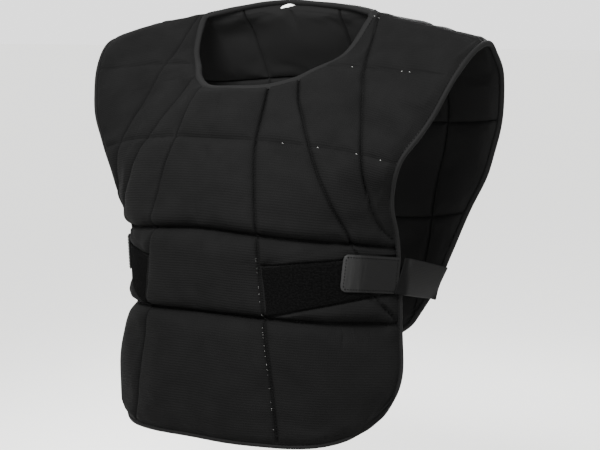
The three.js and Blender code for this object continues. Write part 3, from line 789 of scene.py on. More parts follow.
def two_faced(outer, inner, kept):
    """Points and faces of a sheet with two sides and a closed rim, from two grids of points."""
    ids = np.arange(kept.size + sum(kept.shape) + 1).reshape(outer.shape[:2])
    quads = np.stack([ids[:-1, :-1], ids[:-1, 1:], ids[1:, 1:], ids[1:, :-1]], -1)[kept]
    count = ids.size
    sides = np.concatenate([quads[:, [k, (k + 1) % 4]] for k in range(4)])
    known = set(map(tuple, sides.tolist()))
    rim = [(b, a, a + count, b + count) for a, b in known if (b, a) not in known]
    faces = quads.tolist() + (quads[:, ::-1] + count).tolist() + sorted(rim)
    points = np.concatenate([outer.reshape(-1, 3), inner.reshape(-1, 3)])
    used = np.unique(np.concatenate([np.ravel(face) for face in faces]))
    renumber = np.zeros(len(points), int)
    renumber[used] = np.arange(len(used))
    return points[used], [renumber[list(face)].tolist() for face in faces], used


print("Grid points of front and back:", front["across"].shape, back["across"].shape)

# %% [markdown]
# ## The quilted panels
# Each panel is one closed mesh: an outer face of knitted mesh, an inner face of lining, and a rim all
# round. The texture coordinates are lengths on the cloth in metres, so ribs and weaves can be sized in
# millimetres. Both panels end on the shoulder seam, edge to edge, as they are sewn.

# %% Build the panels
row_line = np.linspace(FIRST_ROW, 9, 500)


def run_along(points):
    """The length along a path at each of its points."""
    return np.concatenate([[0], np.cumsum(np.linalg.norm(np.diff(points, axis=0), axis=1))])


row_lengths = run_along(place(0.4 + 0 * row_line, row_line))


def cloth_lengths(across, row):
    """Texture coordinates: metres across and metres along the cloth."""
    across, row = np.ravel(across), np.ravel(row)
    return np.stack([across * half_width(row), np.interp(row, row_line, row_lengths)], -1)


def build_panel(name, panel, points, outer, inner, node):
    across, row = panel["across"], panel["row"]
    out = outward(across, row)
    below = unit(place(across, row + 0.05) - place(across, row))
    faces_out = points + out * outer[..., None] + below * panel["sag"][..., None]
    faces_in = points - out * inner[..., None]
    lengths = np.tile(cloth_lengths(across, row), (2, 1))
    corners, faces, panel["used"] = two_faced(faces_out, faces_in, panel["kept"])
    piece = add_piece(name, corners, faces, knit, lengths[panel["used"]], [node])
    piece.data.materials.append(lining)
    cells = int(panel["kept"].sum())
    for polygon in piece.data.polygons[cells:2 * cells]:
        polygon.material_index = 1
    return piece


front_points = front_points - outward(front["across"], front["row"]) * fold_depth[..., None]
quilted_front = build_panel("quilted_front", front, front_points, front_outer, front_inner, "front_panel")
quilted_back = build_panel("quilted_back", back, back_points, back_outer, back_inner, "back_panel")

# %% [markdown]
# ## Let the cloth settle
# Drawn pads are too even. A short cloth simulation without gravity lets the cover, which is cut a little
# larger than the foam, swell and crease between its seams. Seams, bound edges and the flat places under
# patches and straps are pinned. Afterwards no point may have moved more than 3 mm.

# %% Cloth simulation
FRAMES, PRESSURE, SLACK, FARTHEST = 18, 2.5, 0.018, 3 * MM


def settle(piece, loose):
    """Runs a cloth simulation and keeps its shape. Loose is 0 where a point is pinned, and 1 where free."""
    group = piece.vertex_groups.new(name="pinned")
    for index, share in enumerate(loose):
        group.add([index], 1 - share, "REPLACE")
    modifier = piece.modifiers.new("settling", "CLOTH")
    settings = modifier.settings
    settings.vertex_group_mass = "pinned"
    settings.quality = 4
    settings.mass = 0.15
    settings.tension_stiffness = settings.compression_stiffness = 12
    settings.shear_stiffness = 4
    settings.bending_stiffness = 0.15
    settings.shrink_min = -SLACK
    settings.use_pressure = True
    settings.uniform_pressure_force = PRESSURE
    settings.effector_weights.gravity = 0
    modifier.collision_settings.use_collision = False
    modifier.point_cache.frame_start, modifier.point_cache.frame_end = 1, FRAMES
    for number in range(1, FRAMES + 1):
        bpy.context.scene.frame_set(number)
    start = np.array([vertex.co for vertex in piece.data.vertices])
    settled = piece.evaluated_get(bpy.context.evaluated_depsgraph_get()).data
    moved = np.array([vertex.co for vertex in settled.vertices]) - start
    reach = np.linalg.norm(moved, axis=1, keepdims=True)
    moved *= np.minimum(1, FARTHEST / np.maximum(reach, 1e-9))
    piece.modifiers.remove(modifier)
    piece.vertex_groups.remove(group)
    bpy.context.scene.frame_set(1)
    piece.data.vertices.foreach_set("co", (start + moved).ravel())
    piece.data.update()
    print(piece.name, "moved up to", round(reach.max() / MM, 1), "mm, kept to", FARTHEST / MM)


front_loose = ramp(np.minimum.reduce([far["upright"], far["fold"], far["edge"]]), 1 * MM, 7 * MM)
front_loose *= mix(0.4, 1, ramp(far["faint"], 1 * MM, 9 * MM)) * (1 - front_flat)
back_loose = ramp(np.minimum(far["back"], far["back_edge"]), 1 * MM, 7 * MM) * (1 - strap_zone)
settle(quilted_front, np.tile(front_loose.ravel(), 2)[front["used"]])
settle(quilted_back, np.tile(back_loose.ravel(), 2)[back["used"]])

# %% [markdown]
# ## Find the seams again
# The cloth has moved, so a seam no longer lies where the chart has it. A ray from outside, sent straight
# in at each point of the seam, finds the surface. The stitches use this later too. Paths are first spaced
# out evenly, since the chart's rows are not all equally long.

# %% Landing on a surface
RAY_START, RAY_LENGTH = 16 * MM, 22 * MM


def landed(tree, points, out):
    """Moves points onto a piece's surface, from outside along the outward direction."""
    hits = []
    for point, direction in zip(points, out):
        hit = tree.ray_cast(Vector(point + direction * RAY_START), Vector(-direction), RAY_LENGTH)[0]
        hits.append(point if hit is None else np.array(hit))
    return np.array(hits)


def resampled(values, points, spacing, closed):
    """Rows of values at even spacing along a path of points."""
    if closed:
        values, points = (np.concatenate([array, array[:1]]) for array in (values, points))
    along = run_along(points)
    count = max(int(along[-1] / spacing), 2)
    at = np.linspace(0, along[-1], count + 1)[:count if closed else None]
    return np.stack([np.interp(at, along, column) for column in values.T], -1)


def chart_row(across, row, spacing):
    """Even points along a curve of the chart, with their outward directions."""
    chart_points = np.stack(np.broadcast_arrays(across, row), -1).astype(float)
    spaced = resampled(chart_points, cloth(*chart_points.T), spacing, False)
    return cloth(*spaced.T), outward(*spaced.T)


print("Waist fold in mm:", round(run_along(chart_row(*folds[0], 1 * MM)[0])[-1] / MM))

# %% [markdown]
# ## Pull the thread tight
# One subdivision rounds the settled cloth off, and it rounds the seams off too. A tight thread cuts a
# narrow groove, so the points beside each seam are pressed in, outside and inside. The yoke and chest are
# sewn more loosely. The shoulder has the same shallow groove on both panels, so that their edges stay
# together.

# %% Narrow grooves along the seams
SEAM_SPACING = 1 * MM


def apply_subdivision(piece):
    modifier = piece.modifiers.new("soft_cloth", "SUBSURF")
    modifier.levels = modifier.render_levels = 1
    rounded = piece.evaluated_get(bpy.context.evaluated_depsgraph_get())
    mesh = bpy.data.meshes.new_from_object(rounded)
    piece.modifiers.remove(modifier)
    piece.data = mesh
    return np.array([vertex.co for vertex in mesh.vertices])


def press_seams(piece, grooves):
    """Presses points in beside seams. Each groove has curves, and in mm its depths and its width."""
    points = apply_subdivision(piece)
    tree = BVHTree.FromObject(piece, bpy.context.evaluated_depsgraph_get())
    moved = points.copy()
    for curves, outside, inside, wide in grooves:
        rows = [chart_row(*curve, SEAM_SPACING) for curve in curves]
        seam, out = (np.concatenate(part) for part in zip(*rows))
        width = wide * MM
        for side, depth in ((1, outside * MM), (-1, inside * MM)):
            nearest = nearest_finder(landed(tree, seam, out * side))
            for index, point in enumerate(points):
                _, found, distance = nearest.find(point)
                if distance < 3 * width:
                    moved[index] -= out[found] * side * depth * near(distance, width)
    piece.data.vertices.foreach_set("co", moved.ravel())
    piece.data.update()
    print(piece.name, "has", len(points), "points after the subdivision")


# Curves, depth outside, depth inside (less than 0 bulges inward) and width
SHOULDER_GROOVE = (shoulder, 1.2, 0.2, 1.4)
press_seams(quilted_front, [(front_uprights, 3.2, 1, 1.4), SHOULDER_GROOVE, (faint_levels, 1, 0.5, 2.6),
                            (creases, 1.6, 0, 2), (darts, 2.6, 0, 2), (patch_edges, 2.4, 0, 1.7),
                            (folds, 3.4, -1.8, 3.2)])
press_seams(quilted_back, [(back_seams, 2, 2.4, 1.5), SHOULDER_GROOVE])

# %% [markdown]
# ## Sweeping a section
# Tapes, straps, tabs and the label all have one cross section that is carried along a path. Blender's
# curves can do that with a bevel, but they give less hold on how a flat tape twists. So the sections are
# placed here, and one function joins them into a closed solid. The first section is that of a folded tape.

# %% Sweep a section along a path
# Half of the tape's section in mm: distance from the cloth's middle, and distance in from the cut edge
TAPE_OUTSIDE = [(1.9, 6.2), (2.3, 5.9), (2.1, 5.1), (2.3, 4.2), (2.8, 3.2), (3.1, 2.1), (2.9, 1.0),
                (2.4, 0), (1.7, -0.8), (0.9, -1.3)]
TAPE_INSIDE = [(0.7, -0.4), (1.3, 0.5), (1.4, 2.5), (1.4, 4.5), (1.4, 5.9)]
TAPE_SECTION = np.array(TAPE_OUTSIDE + [(0, -1.5)] + [(-a, b) for a, b in TAPE_OUTSIDE[::-1]]
                        + [(-a, b) for a, b in TAPE_INSIDE[::-1]] + [(0, -0.6)] + TAPE_INSIDE) * MM


def smoothed(points, length, closed):
    """Evens a path out over a length, by averaging each point with its neighbours again and again."""
    step = np.linalg.norm(np.diff(points, axis=0), axis=1).mean()
    for _ in range(max(int((length / step) ** 2), 1)):
        average = (np.roll(points, 1, 0) + np.roll(points, -1, 0) + 2 * points) / 4
        if not closed:
            average[0], average[-1] = points[0], points[-1]
        points = average
    return points


def swept(name, sections, closed, material, nodes, lengths, girths):
    """A closed solid from cross sections: an array of stations, points round the section, and 3."""
    stations, around = sections.shape[:2]
    ids = np.arange(stations * around).reshape(stations, around)
    following = np.roll(ids, -1, 0) if closed else ids[1:]
    here = ids if closed else ids[:-1]
    quads = np.stack([here, np.roll(here, -1, 1), np.roll(following, -1, 1), following], -1)
    faces = quads.reshape(-1, 4).tolist()
    if not closed:
        faces += [ids[0, ::-1].tolist(), ids[-1].tolist()]
    coordinates = np.stack(np.meshgrid(lengths, girths, indexing="ij"), -1).reshape(-1, 2)
    return add_piece(name, sections.reshape(-1, 3), faces, material, coordinates, nodes)


print("Round the tape's section in mm:", round(run_along(TAPE_SECTION)[-1] / MM))

# %% [markdown]
# ## Folded binding tapes
# A binding machine folds tape over the raw edge and sews it down in one pass. The tape lies tight along
# its stitch line and stays round at the fold. So one cross section of a folded tape is swept along each
# edge. One tape runs round the neck, and one runs round the whole outer edge of both panels.

# %% Bind the edges
TAPE_FLAT, TAPE_STEP = 0.017, 2.5 * MM
EDGE_WIDE, NECK_WIDE = 0.72, 1.1
TAPES_LIE_ON = ["quilted_front", "quilted_back"]


def tape_path(parts):
    """Points, outward directions and directions ahead along a closed edge."""
    chart_points = np.concatenate([np.stack(part, -1) for part in parts])
    spaced = resampled(chart_points, cloth(*chart_points.T), TAPE_STEP, True)
    points = smoothed(cloth(*spaced.T), 5 * MM, True)
    out = unit(smoothed(outward(*spaced.T), 0.1, True))
    ahead = unit(np.roll(points, -1, 0) - np.roll(points, 1, 0))
    return points, unit(out - ahead * (out * ahead).sum(1, keepdims=True)), ahead


def bind(name, parts, toward, wide, node):
    """Sweeps a tape. Toward is the side of the path on which the panel lies, and wide scales the section."""
    points, out, ahead = tape_path(parts)
    inward = np.cross(out, ahead) * toward
    section = TAPE_SECTION * (1, wide)
    lengths = np.arange(len(points)) * TAPE_STEP
    roll = 1 + 0.05 * np.sin(lengths / 0.019) + 0.05 * np.sin(lengths / 0.0071 + 1)
    sections = points[:, None] + out[:, None] * (section[:, 0] * roll[:, None])[..., None]
    sections = sections + inward[:, None] * section[None, :, 1:]
    piece = swept(name, sections, True, tape, [node], lengths, run_along(section))
    print(name, "is", round(lengths[-1] / MM), "mm long")
    return piece, (TAPE_FLAT * wide, float(lengths[-1])), (points, out, inward), sections


edge_parts = [front_edge, tuple(part[::-1] for part in back_edge)]
edge_tape, edge_flat, edge_line, _ = bind("edge_tape", edge_parts, -1, EDGE_WIDE, "edge_binding")
neck_parts = [front_neck, tuple(part[::-1] for part in back_neck)]
neck_tape, neck_flat, neck_line, neck_sections = bind("neck_tape", neck_parts, 1, NECK_WIDE, "neck_binding")

# %% [markdown]
# ## Where the neck tape ends
# The two ends of the neck tape overlap at the left shoulder seam, which shows as a small lump. It is a
# short piece of the same section, a little larger, slipped over the tape.

# %% Tape overlap
OVERLAP_SWELL = np.array([0.9, 1.2, 1.28, 1.3, 1.22, 0.95])
meeting = np.argmin(np.linalg.norm(neck_line[0] - cloth(NECK["shoulder"], 0.05), axis=1))
stations = np.arange(len(OVERLAP_SWELL))
overlap = np.take(neck_sections, meeting - len(stations) // 2 + stations, axis=0, mode="wrap")
centre = overlap.mean(1, keepdims=True)
overlap_sections = centre + (overlap - centre) * OVERLAP_SWELL[:, None, None]
neck_overlap = swept("neck_tape_overlap", overlap_sections, False, tape, [],
                     stations * TAPE_STEP, np.arange(overlap.shape[1]) * MM)

# %% [markdown]
# ## Loop patches
# The patch is cut from brushed loop tape and sewn flat on the front. It is a thin sheet that lies on the
# chart. Its pile is real geometry: each point of its face sinks by a random part of half a millimetre, so
# that the patch also looks rough from close by.

# %% Loop patches
rng = np.random.default_rng(7)
PATCH_BASE, PATCH_RIM, PATCH_FACE, PILE_DEPTH = 3.3 * MM, 0.7 * MM, 4.8 * MM, 0.45 * MM
PATCH_GRID = (96, 56)
PATCH_MARGIN, PATCH_INSET = 0.012, 0.014


def on_cloth(across, row, lift):
    """A point above the middle of the padding, by a lift in metres."""
    return cloth(across, row) + outward(across, row) * np.asarray(lift)[..., None]


def loop_patch(name, side, node):
    share_a, share_b = np.meshgrid(*[np.linspace(0, 1, count) for count in PATCH_GRID], indexing="ij")
    inner_row = mix(patch_top(PATCH["from"]), patch_bottom(PATCH["from"]), share_b)
    across = mix(seam_at(INNER_SEAM, inner_row) + PATCH_INSET, PATCH["to"], share_a)
    row = mix(patch_top(across) + PATCH_MARGIN, patch_bottom(across) - PATCH_MARGIN, share_b)
    end_a, end_b = (np.minimum(share, 1 - share) for share in (share_a, share_b))
    rim = ramp(np.minimum(end_a * 100, end_b * 50), 0, 2)
    pile_height = PILE_DEPTH * rng.random(across.shape) * rim
    top = on_cloth(side * across, row, mix(PATCH_BASE + PATCH_RIM, PATCH_FACE, rim) - pile_height)
    bottom = on_cloth(side * across, row, PATCH_BASE + 0 * across)
    corners, faces, used = two_faced(top, bottom, np.ones([count - 1 for count in PATCH_GRID], bool))
    lengths = np.tile(cloth_lengths(side * across, row), (2, 1))[used]
    piece = add_piece(name, corners, faces, pile, lengths, [node])


loop_patch("loop_tape_left", 1, "loop_patch_left")
loop_patch("loop_tape_right", -1, "loop_patch_right")

# %% [markdown]
# ## Flat ribbons
# Tabs and straps are both flat strips of the same width. A strip needs a middle line, the direction out of
# the cloth and the direction up it. Its section is a flat bar with round edges, and webbing has a thicker
# selvage along both of them.

# %% Ribbons
STRAP_WIDTH = 39 * MM
ribbon_paths = {}


def strap_frame(across, row, lift):
    """Middle, outward and upward direction of a strap at places of the chart."""
    step = 0.1 * np.sign(row)
    up = unit(cloth(across, row - step) - cloth(across, row + step))
    return on_cloth(across, row, lift + 0 * across), outward(across, row), up


def ribbon(name, path, half_widths, half_thick, material, node, selvage):
    """A flat strip with rounded edges, and with thicker selvages when selvage is above 0."""
    ribbon_paths[name] = path
    middle, out, up = path
    level = np.linspace(-1, 1, 25)
    level = np.sign(level) * (1 - (1 - np.abs(level)) ** 1.4)
    body = (1 - np.abs(level) ** 16) ** 0.5 + selvage * near(np.abs(level) - 0.93, 0.05)
    around = np.concatenate([level, level[::-1][1:-1]])
    thick = np.concatenate([body, -body[::-1][1:-1]])
    sections = middle[:, None] + up[:, None] * (half_widths[:, None] * around)[..., None]
    sections = sections + out[:, None] * (half_thick[:, None] * thick)[..., None]
    lengths = run_along(middle)
    swept(name, sections, False, material, [node], lengths, around * STRAP_WIDTH / 2)
    print(name, "is", round(lengths[-1] / MM), "mm long")
    return lengths[-1]


print("Straps and tabs are", round(STRAP_WIDTH / MM), "mm wide")

# %% [markdown]
# ## Hook tabs
# The tab at the end of the elastic presses onto the loop patch. Its free end has rounded corners, so that
# it does not catch, and it thins out there. The strap pulls a little downward to the back, so the ends of
# tab and strap lean.

# %% Hook tabs
TAB_FROM, TAB_TO, TAB_ROW, TAB_LIFT = 0.768, 0.984, 6.38, 5.9 * MM
TAB_CORNER, TAB_HALF_THICK, TAB_THINS = 6 * MM, 1 * MM, 1.5 * MM
SLANT = 0.14


def hook_tab(name, side, node):
    across = side * np.linspace(TAB_FROM, TAB_TO, 60)
    middle, out, up = strap_frame(across, TAB_ROW + 0 * across, TAB_LIFT)
    path = (middle, out, unit(up + SLANT * unit(np.gradient(middle, axis=0))))
    run = run_along(middle)
    cut = np.maximum(TAB_CORNER - run, 0)
    half = STRAP_WIDTH / 2 - TAB_CORNER + np.sqrt(np.maximum(TAB_CORNER ** 2 - cut ** 2, 0))
    thick = TAB_HALF_THICK * np.sqrt(np.clip(run / TAB_THINS, 0.05, 1))
    length = ribbon(name, path, half, thick, hook, node, 0)


print("Tab's middle lies", round(TAB_LIFT / MM, 1), "mm above the padding's middle")

# %% [markdown]
# ## Elastic straps
# The elastic leaves the tab, spans the open side and is sewn onto the back. Only its two ends lie on the
# cloth. The span between them is the straight way, and smoothing lets it bend gently where it leaves each
# panel, as pulled elastic does.

# %% Elastic straps
BACK_LIFT, BACK_EDGE_LIFT = 5.6 * MM, 4.2 * MM
STRAP_STEP, STRAP_HALF_THICK, SELVAGE = 1.6 * MM, 0.9 * MM, 0.3


def strap(name, side, node):
    front_part = strap_frame(side * np.linspace(0.987, 1.012, 4), np.full(4, TAB_ROW), TAB_LIFT)
    back_across = np.linspace(1.004, 0.7, 24)
    back_lift = mix(BACK_LIFT, BACK_EDGE_LIFT, ramp(back_across, 0.9, 0.98))
    back_part = strap_frame(side * back_across, -mix(6.56, 6.72, np.linspace(0, 1, 24)), back_lift)
    joined = [np.concatenate([a, b]) for a, b in zip(front_part, back_part)]
    values = resampled(np.concatenate(joined, 1), joined[0], STRAP_STEP, False)
    middle = smoothed(values[:, :3], 9 * MM, False)
    ahead = unit(np.gradient(middle, axis=0))
    up = smoothed(values[:, 6:], 15 * MM, False)
    up = unit(up - ahead * (up * ahead).sum(1, keepdims=True))
    out = np.cross(ahead, up)
    out *= np.sign((out * values[:, 3:6]).sum())
    up = unit(up + ahead * SLANT * np.linspace(1, 0, len(up))[:, None])
    thick = STRAP_HALF_THICK * (1 + 0.06 * np.sin(np.arange(len(middle)) * 2.2))
    half = np.full(len(middle), STRAP_WIDTH / 2)
    length = ribbon(name, (middle, out, up), half, thick, elastic, node, SELVAGE)


for side_name, side in (("left", 1), ("right", -1)):
    hook_tab("hook_tape_" + side_name, side, "hook_tab_" + side_name)
    strap("elastic_" + side_name, side, "strap_" + side_name)

# %% [markdown]
# ## The label
# A small oval of white satin is sewn inside the back of the neck. It is left plain. It is a thin disc with
# a rounded rim, laid on the inner side of the folded tape, and it leans a little, as sewn labels do.

# %% Oval label
LABEL_HALF_WIDE, LABEL_HALF_TALL, LABEL_TILT = 11 * MM, 3.7 * MM, math.radians(12)
# Rings of the disc: share of its size, and height in mm
LABEL_RINGS = [(0.02, 0.8), (0.45, 0.8), (0.86, 0.78), (0.96, 0.6), (1, 0.3), (0.98, 0)]
LABEL_TURNS = np.linspace(0, 2 * np.pi, 48, endpoint=False)
middle_index = np.argmax(neck_line[0][:, 1])
foot, label_out, label_in = (part[middle_index] for part in neck_line)
label_wide = np.array([math.cos(LABEL_TILT), 0, math.sin(LABEL_TILT)])
label_face = unit(-label_out + np.array([0, -1.2, 0]))
label_tall = np.cross(label_face, label_wide)
label_foot = foot - label_out * 5 * MM + label_in * 4 * MM
oval = [label_wide * LABEL_HALF_WIDE * math.cos(turn) + label_tall * LABEL_HALF_TALL * math.sin(turn)
        for turn in LABEL_TURNS]
label_rings = np.array([label_foot + np.array(oval) * size + label_face * high * MM
                        for size, high in LABEL_RINGS])
oval_label = swept("oval_label", label_rings, False, satin, ["neck_label"],
                   np.arange(len(LABEL_RINGS)) * MM, np.arange(len(LABEL_TURNS)) * MM)

# %% [markdown]
# ## Stitches
# A lockstitch shows as a row of short bars of thread that dip into the cloth at both ends. Each bar is a
# small capsule. Thousands of objects would be slow, so all stitches of one kind are one mesh.

# %% Sew stitches
# Along the stitch, size and lift of each ring of a capsule, all as shares
CAPSULE = [(-0.5, 0.4, -0.9), (-0.3, 1, 0.3), (0.3, 1, 0.3), (0.5, 0.4, -0.9)]
CAPSULE_QUADS = [(ring * 4 + k, ring * 4 + (k + 1) % 4, ring * 4 + 4 + (k + 1) % 4, ring * 4 + 4 + k)
                 for ring in range(3) for k in range(4)] + [(3, 2, 1, 0), (12, 13, 14, 15)]
CAPSULE_POINTS = 4 * len(CAPSULE)


def sew(name, rows, length, thick, material):
    """One mesh of stitches. Each row has their places, directions ahead and directions out."""
    points, ahead, out = (np.concatenate(parts) for parts in zip(*rows))
    over = np.cross(out, ahead)
    corners = []
    for along, size, lift in CAPSULE:
        centre = points + ahead * along * length + out * lift * thick
        for turn in np.arange(4) * np.pi / 2:
            round_it = over * math.cos(turn) + out * math.sin(turn)
            corners.append(centre + round_it * thick * size)
    corners = np.stack(corners, 1).reshape(-1, 3)
    starts = np.arange(len(points))[:, None, None] * CAPSULE_POINTS
    faces = (np.array(CAPSULE_QUADS)[None] + starts).reshape(-1, 4).tolist()
    add_piece(name, corners, faces, material, np.zeros((len(corners), 2)), [])
    print(name, "has", len(points), "stitches")


print("One stitch has", CAPSULE_POINTS, "points")

# %% [markdown]
# ## Quilting and binding stitches
# The quilting thread follows the seams, and on the back it shows inside as well, through the neck and the
# armholes. Rays find the finished surface, so every stitch lies in its groove. The binding has a row near
# the tape's inner edge on both sides.

# %% Stitch rows
QUILT_PITCH, QUILT_LENGTH, THREAD = 3.6 * MM, 2.6 * MM, 0.35 * MM
TAPE_STITCH_DEPTH, TAPE_STITCH_LIFT = 5.1, 2.4 * MM
depsgraph = bpy.context.evaluated_depsgraph_get()
surfaces = {name: BVHTree.FromObject(pieces[name], depsgraph) for name in TAPES_LIE_ON}


def stitch_row(surface, across, row, side=1):
    """Stitches along a curve, on the outside or, with side -1, on the inside."""
    points, out = chart_row(across, row, QUILT_PITCH)
    points = landed(surfaces[surface], points, out * side)
    return points, unit(np.gradient(points, axis=0)), out * side


def edge_row(line, depth, side):
    """Stitches along a bound edge, on its outer side when side is 1 and on its inner side when it is -1."""
    points, out, inward = line
    at = points + inward * depth + out * side * TAPE_STITCH_LIFT
    values = resampled(np.concatenate([at, out * side], 1), at, QUILT_PITCH, True)
    ahead = unit(np.roll(values[:, :3], -1, 0) - np.roll(values[:, :3], 1, 0))
    return values[:, :3], ahead, unit(values[:, 3:])


front_rows_sewn = [stitch_row("quilted_front", across, row) for across, row in front_uprights + folds]
back_rows_sewn = [stitch_row("quilted_back", across, row, side)
                  for across, row in back_seams for side in (1, -1)]
tape_rows_sewn = [edge_row(line, TAPE_STITCH_DEPTH * wide * MM, side)
                  for line, wide in ((edge_line, EDGE_WIDE), (neck_line, NECK_WIDE)) for side in (1, -1)]
sew("front_quilting", front_rows_sewn, QUILT_LENGTH, THREAD, thread)
sew("back_quilting", back_rows_sewn, QUILT_LENGTH, THREAD, thread)
sew("binding_stitches", tape_rows_sewn, QUILT_LENGTH, THREAD, thread)

# %% [markdown]
# ## Stitches on tabs and straps
# The tab is sewn round its border, with short slanted stitches at its round corners. The elastic is held
# on the back by a box with a cross in it, the usual way to sew webbing that is pulled hard.

# %% Strap stitches
STRAP_PITCH, STRAP_STITCH = 3 * MM, 2.2 * MM
INSET, BOX_LENGTH = 3 * MM, 27 * MM
TAB_THREAD_LIFT, STRAP_THREAD_LIFT = 1.05 * MM, 1 * MM


def ribbon_row(name, start, end, lift):
    """Stitches in a straight line on a ribbon, between two places: metres along it and above its middle."""
    middle, out, up = ribbon_paths[name]
    run = run_along(middle)
    share = np.linspace(0, 1, max(int(math.dist(start, end) / STRAP_PITCH), 2))
    along, above = (mix(start[k], end[k], share) for k in range(2))
    m, o, u = (np.stack([np.interp(along, run, axis) for axis in part.T], -1) for part in (middle, out, up))
    points = m + u * above[:, None] + o * lift
    return points, unit(np.gradient(points, axis=0)), o


strap_rows = []
tall, corner = STRAP_WIDTH / 2 - INSET, 2 * MM
for side_name in ("left", "right"):
    name = "hook_tape_" + side_name
    end = run_along(ribbon_paths[name][0])[-1] - INSET
    border = [(end, tall), (INSET + corner, tall), (INSET, tall - INSET), (INSET, INSET - tall),
              (INSET + corner, -tall), (end, -tall), (end, tall)]
    strap_rows += [ribbon_row(name, a, b, TAB_THREAD_LIFT) for a, b in zip(border, border[1:])]
    name = "elastic_" + side_name
    end = run_along(ribbon_paths[name][0])[-1] - INSET
    box = [(end - BOX_LENGTH, tall), (end, tall), (end, -tall), (end - BOX_LENGTH, -tall)]
    lines = list(zip(box, box[1:] + box[:1])) + [(box[0], box[2]), (box[1], box[3])]
    strap_rows += [ribbon_row(name, a, b, STRAP_THREAD_LIFT) for a, b in lines]
sew("strap_stitches", strap_rows, STRAP_STITCH, THREAD, thread)

# %% [markdown]
# ## Pale tacks and dots
# A few pale tacks show where quilting seams were closed by hand: on the left half of the yoke and chest
# seams and at the corner of the neck. Small pale dots follow the left inner seam below the waist fold,
# where the lower thread was pulled through. Their places are random, but the random numbers are the same
# each time.

# %% Tacks and dots
TACK_LENGTH, TACK_THICK, TACK_LIFT = 1.5 * MM, 0.42 * MM, 0.3 * MM
DOT_LENGTH, DOT_THICK, DOT_COUNT, DOT_ASIDE = 0.8 * MM, 0.18 * MM, 26, 0.012
CHEST_TACKS, YOKE_TACKS = np.array([0.402, 0.577, 0.777, 0.903]), np.array([0.501, 0.739, 0.779])
NECK_TACKS, NECK_TACK_ROWS = np.array([0.47, 0.49]), np.array([0.12, 0.12])


def tacks(across, row):
    """Short stitches that lie across, on the outside of the front."""
    out = outward(across, row)
    points = landed(surfaces["quilted_front"], cloth(across, row), out)
    over = unit(cloth(across + 0.01, row) - cloth(across - 0.01, row))
    return points + out * TACK_LIFT, over, out


tack_rows = [tacks(CHEST_TACKS, level_at(CHEST, CHEST_TACKS)), tacks(YOKE_TACKS, level_at(YOKE, YOKE_TACKS)),
             tacks(NECK_TACKS, NECK_TACK_ROWS)]
sew("pale_tacks", tack_rows, TACK_LENGTH, TACK_THICK, tacking)
dot_rows = np.sort(rng.uniform(6.2, 8.75, DOT_COUNT))
dots = tacks(seam_at(INNER_SEAM, dot_rows) - DOT_ASIDE, dot_rows)
sew("pulled_dots", [dots], DOT_LENGTH, DOT_THICK, tacking)

# %% [markdown]
# ## Floor and sky
# The photo has a plain white studio behind the vest. A wide pale floor well below the hem and a white sky
# give that without a wall, so the vest can be looked at from every side. The sky is brighter overhead,
# like a room with lamps above, so the tops of the pads are lighter than their undersides.

# %% Floor and sky
FLOOR_DROP, FLOOR_HALF = 0.2, 30
SKY_LOW, SKY_HIGH = 2, 2.6
floor_z = cad_low[2] - FLOOR_DROP
floor_corners = [(FLOOR_HALF * x, FLOOR_HALF * y, floor_z) for x, y in ((-1, -1), (1, -1), (1, 1), (-1, 1))]
floor_mesh = bpy.data.meshes.new("studio_floor")
floor_mesh.from_pydata(floor_corners, [], [(0, 1, 2, 3)])
floor = bpy.data.objects.new("studio_floor", floor_mesh)
bpy.context.scene.collection.objects.link(floor)
paper, tree = start_material("white_studio_paper")
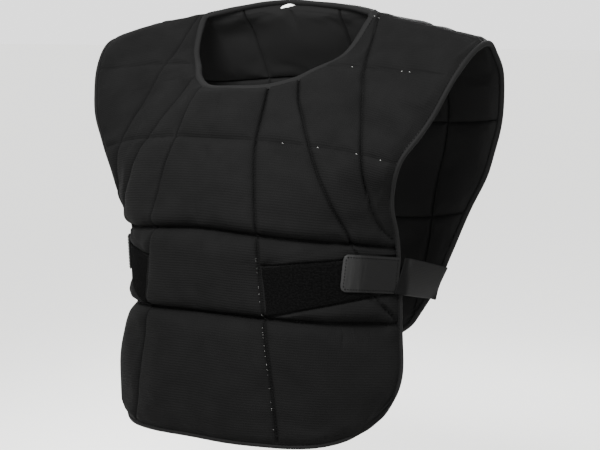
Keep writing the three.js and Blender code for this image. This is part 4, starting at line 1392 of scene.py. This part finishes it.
# Uncoated paper: matt and nearly white
finish_material(tree, add_node(tree, "ShaderNodeBsdfPrincipled", {
    "Base Color": linear("#e4e4e2"), "Roughness": 0.9, "IOR": 1.5, "Specular IOR Level": 0.2}))
floor_mesh.materials.append(paper)
world = bpy.data.worlds.new("white_room")
bpy.context.scene.world = world
world.use_nodes = True
tree = world.node_tree
tree.nodes.clear()
direction = add_node(tree, "ShaderNodeTexCoord", {}).outputs["Generated"]
height = add_node(tree, "ShaderNodeSeparateXYZ", {"Vector": direction}).outputs["Z"]
glow = add_node(tree, "ShaderNodeMapRange", {"Value": height, "To Min": SKY_LOW, "To Max": SKY_HIGH})
sky = add_node(tree, "ShaderNodeBackground", {"Color": (1, 1, 1, 1), "Strength": glow.outputs["Result"]})
add_node(tree, "ShaderNodeOutputWorld", {"Surface": sky.outputs["Background"]})
print("Floor", round(FLOOR_DROP / MM), "mm below the hem")

# %% [markdown]
# ## Lights
# Black cloth shows its shape only by soft differences of light. One soft lamp stands in front of the chest
# and above it, so the pads darken towards their lower edges. A weak one fills from the wearer's left side,
# and a third lights the back. A narrow spread keeps the lamps from washing out the floor.

# %% Lights
AIM = Vector((0, -0.1, -0.08))
SPREAD = math.radians(60)
# Name, place, size in metres and power in watts
LAMPS = [("key", (0.2, -1.1, 0.75), 0.6, 14), ("fill", (1.5, -0.9, 0.2), 0.8, 3),
         ("back", (-0.5, 2.0, 0.6), 1.2, 16)]
for name, spot, size, energy in LAMPS:
    light = bpy.data.lights.new(name, "AREA")
    light.size, light.energy, light.spread = size, energy, SPREAD
    lamp = bpy.data.objects.new(name, light)
    lamp.location = spot
    lamp.rotation_euler = (AIM - lamp.location).to_track_quat("-Z", "Y").to_euler()
    bpy.context.scene.collection.objects.link(lamp)
    print(name, "light of", energy, "W")

# %% [markdown]
# ## Camera
# The camera stands where the photo was taken from. Its place, its lens and the way it looks were worked
# out from pairs of points that mirror each other on the two sides of the vest, and from the width of the
# strap.

# %% Camera
PHOTO_LENS, SENSOR_WIDTH = 93.72, 36
PHOTO_PLACE, PHOTO_TILT, PHOTO_TURN = (0.930, -1.470, -0.007), 82.52, 32
camera_data = bpy.data.cameras.new("photo_camera")
camera_data.lens = PHOTO_LENS
camera_data.sensor_width = SENSOR_WIDTH
camera = bpy.data.objects.new("photo_camera", camera_data)
camera.location = PHOTO_PLACE
camera.rotation_euler = (math.radians(PHOTO_TILT), 0, math.radians(PHOTO_TURN))
bpy.context.scene.collection.objects.link(camera)
bpy.context.scene.camera = camera
print("Camera at", tuple(round(v, 3) for v in camera.location))

# %% [markdown]
# ## Sizes
# Cloth that swells must still fit the part that it belongs to. The box of all pieces is measured once more
# and written down beside the box from CAD, so the two can be compared.

# %% Sizes
bpy.context.view_layer.update()
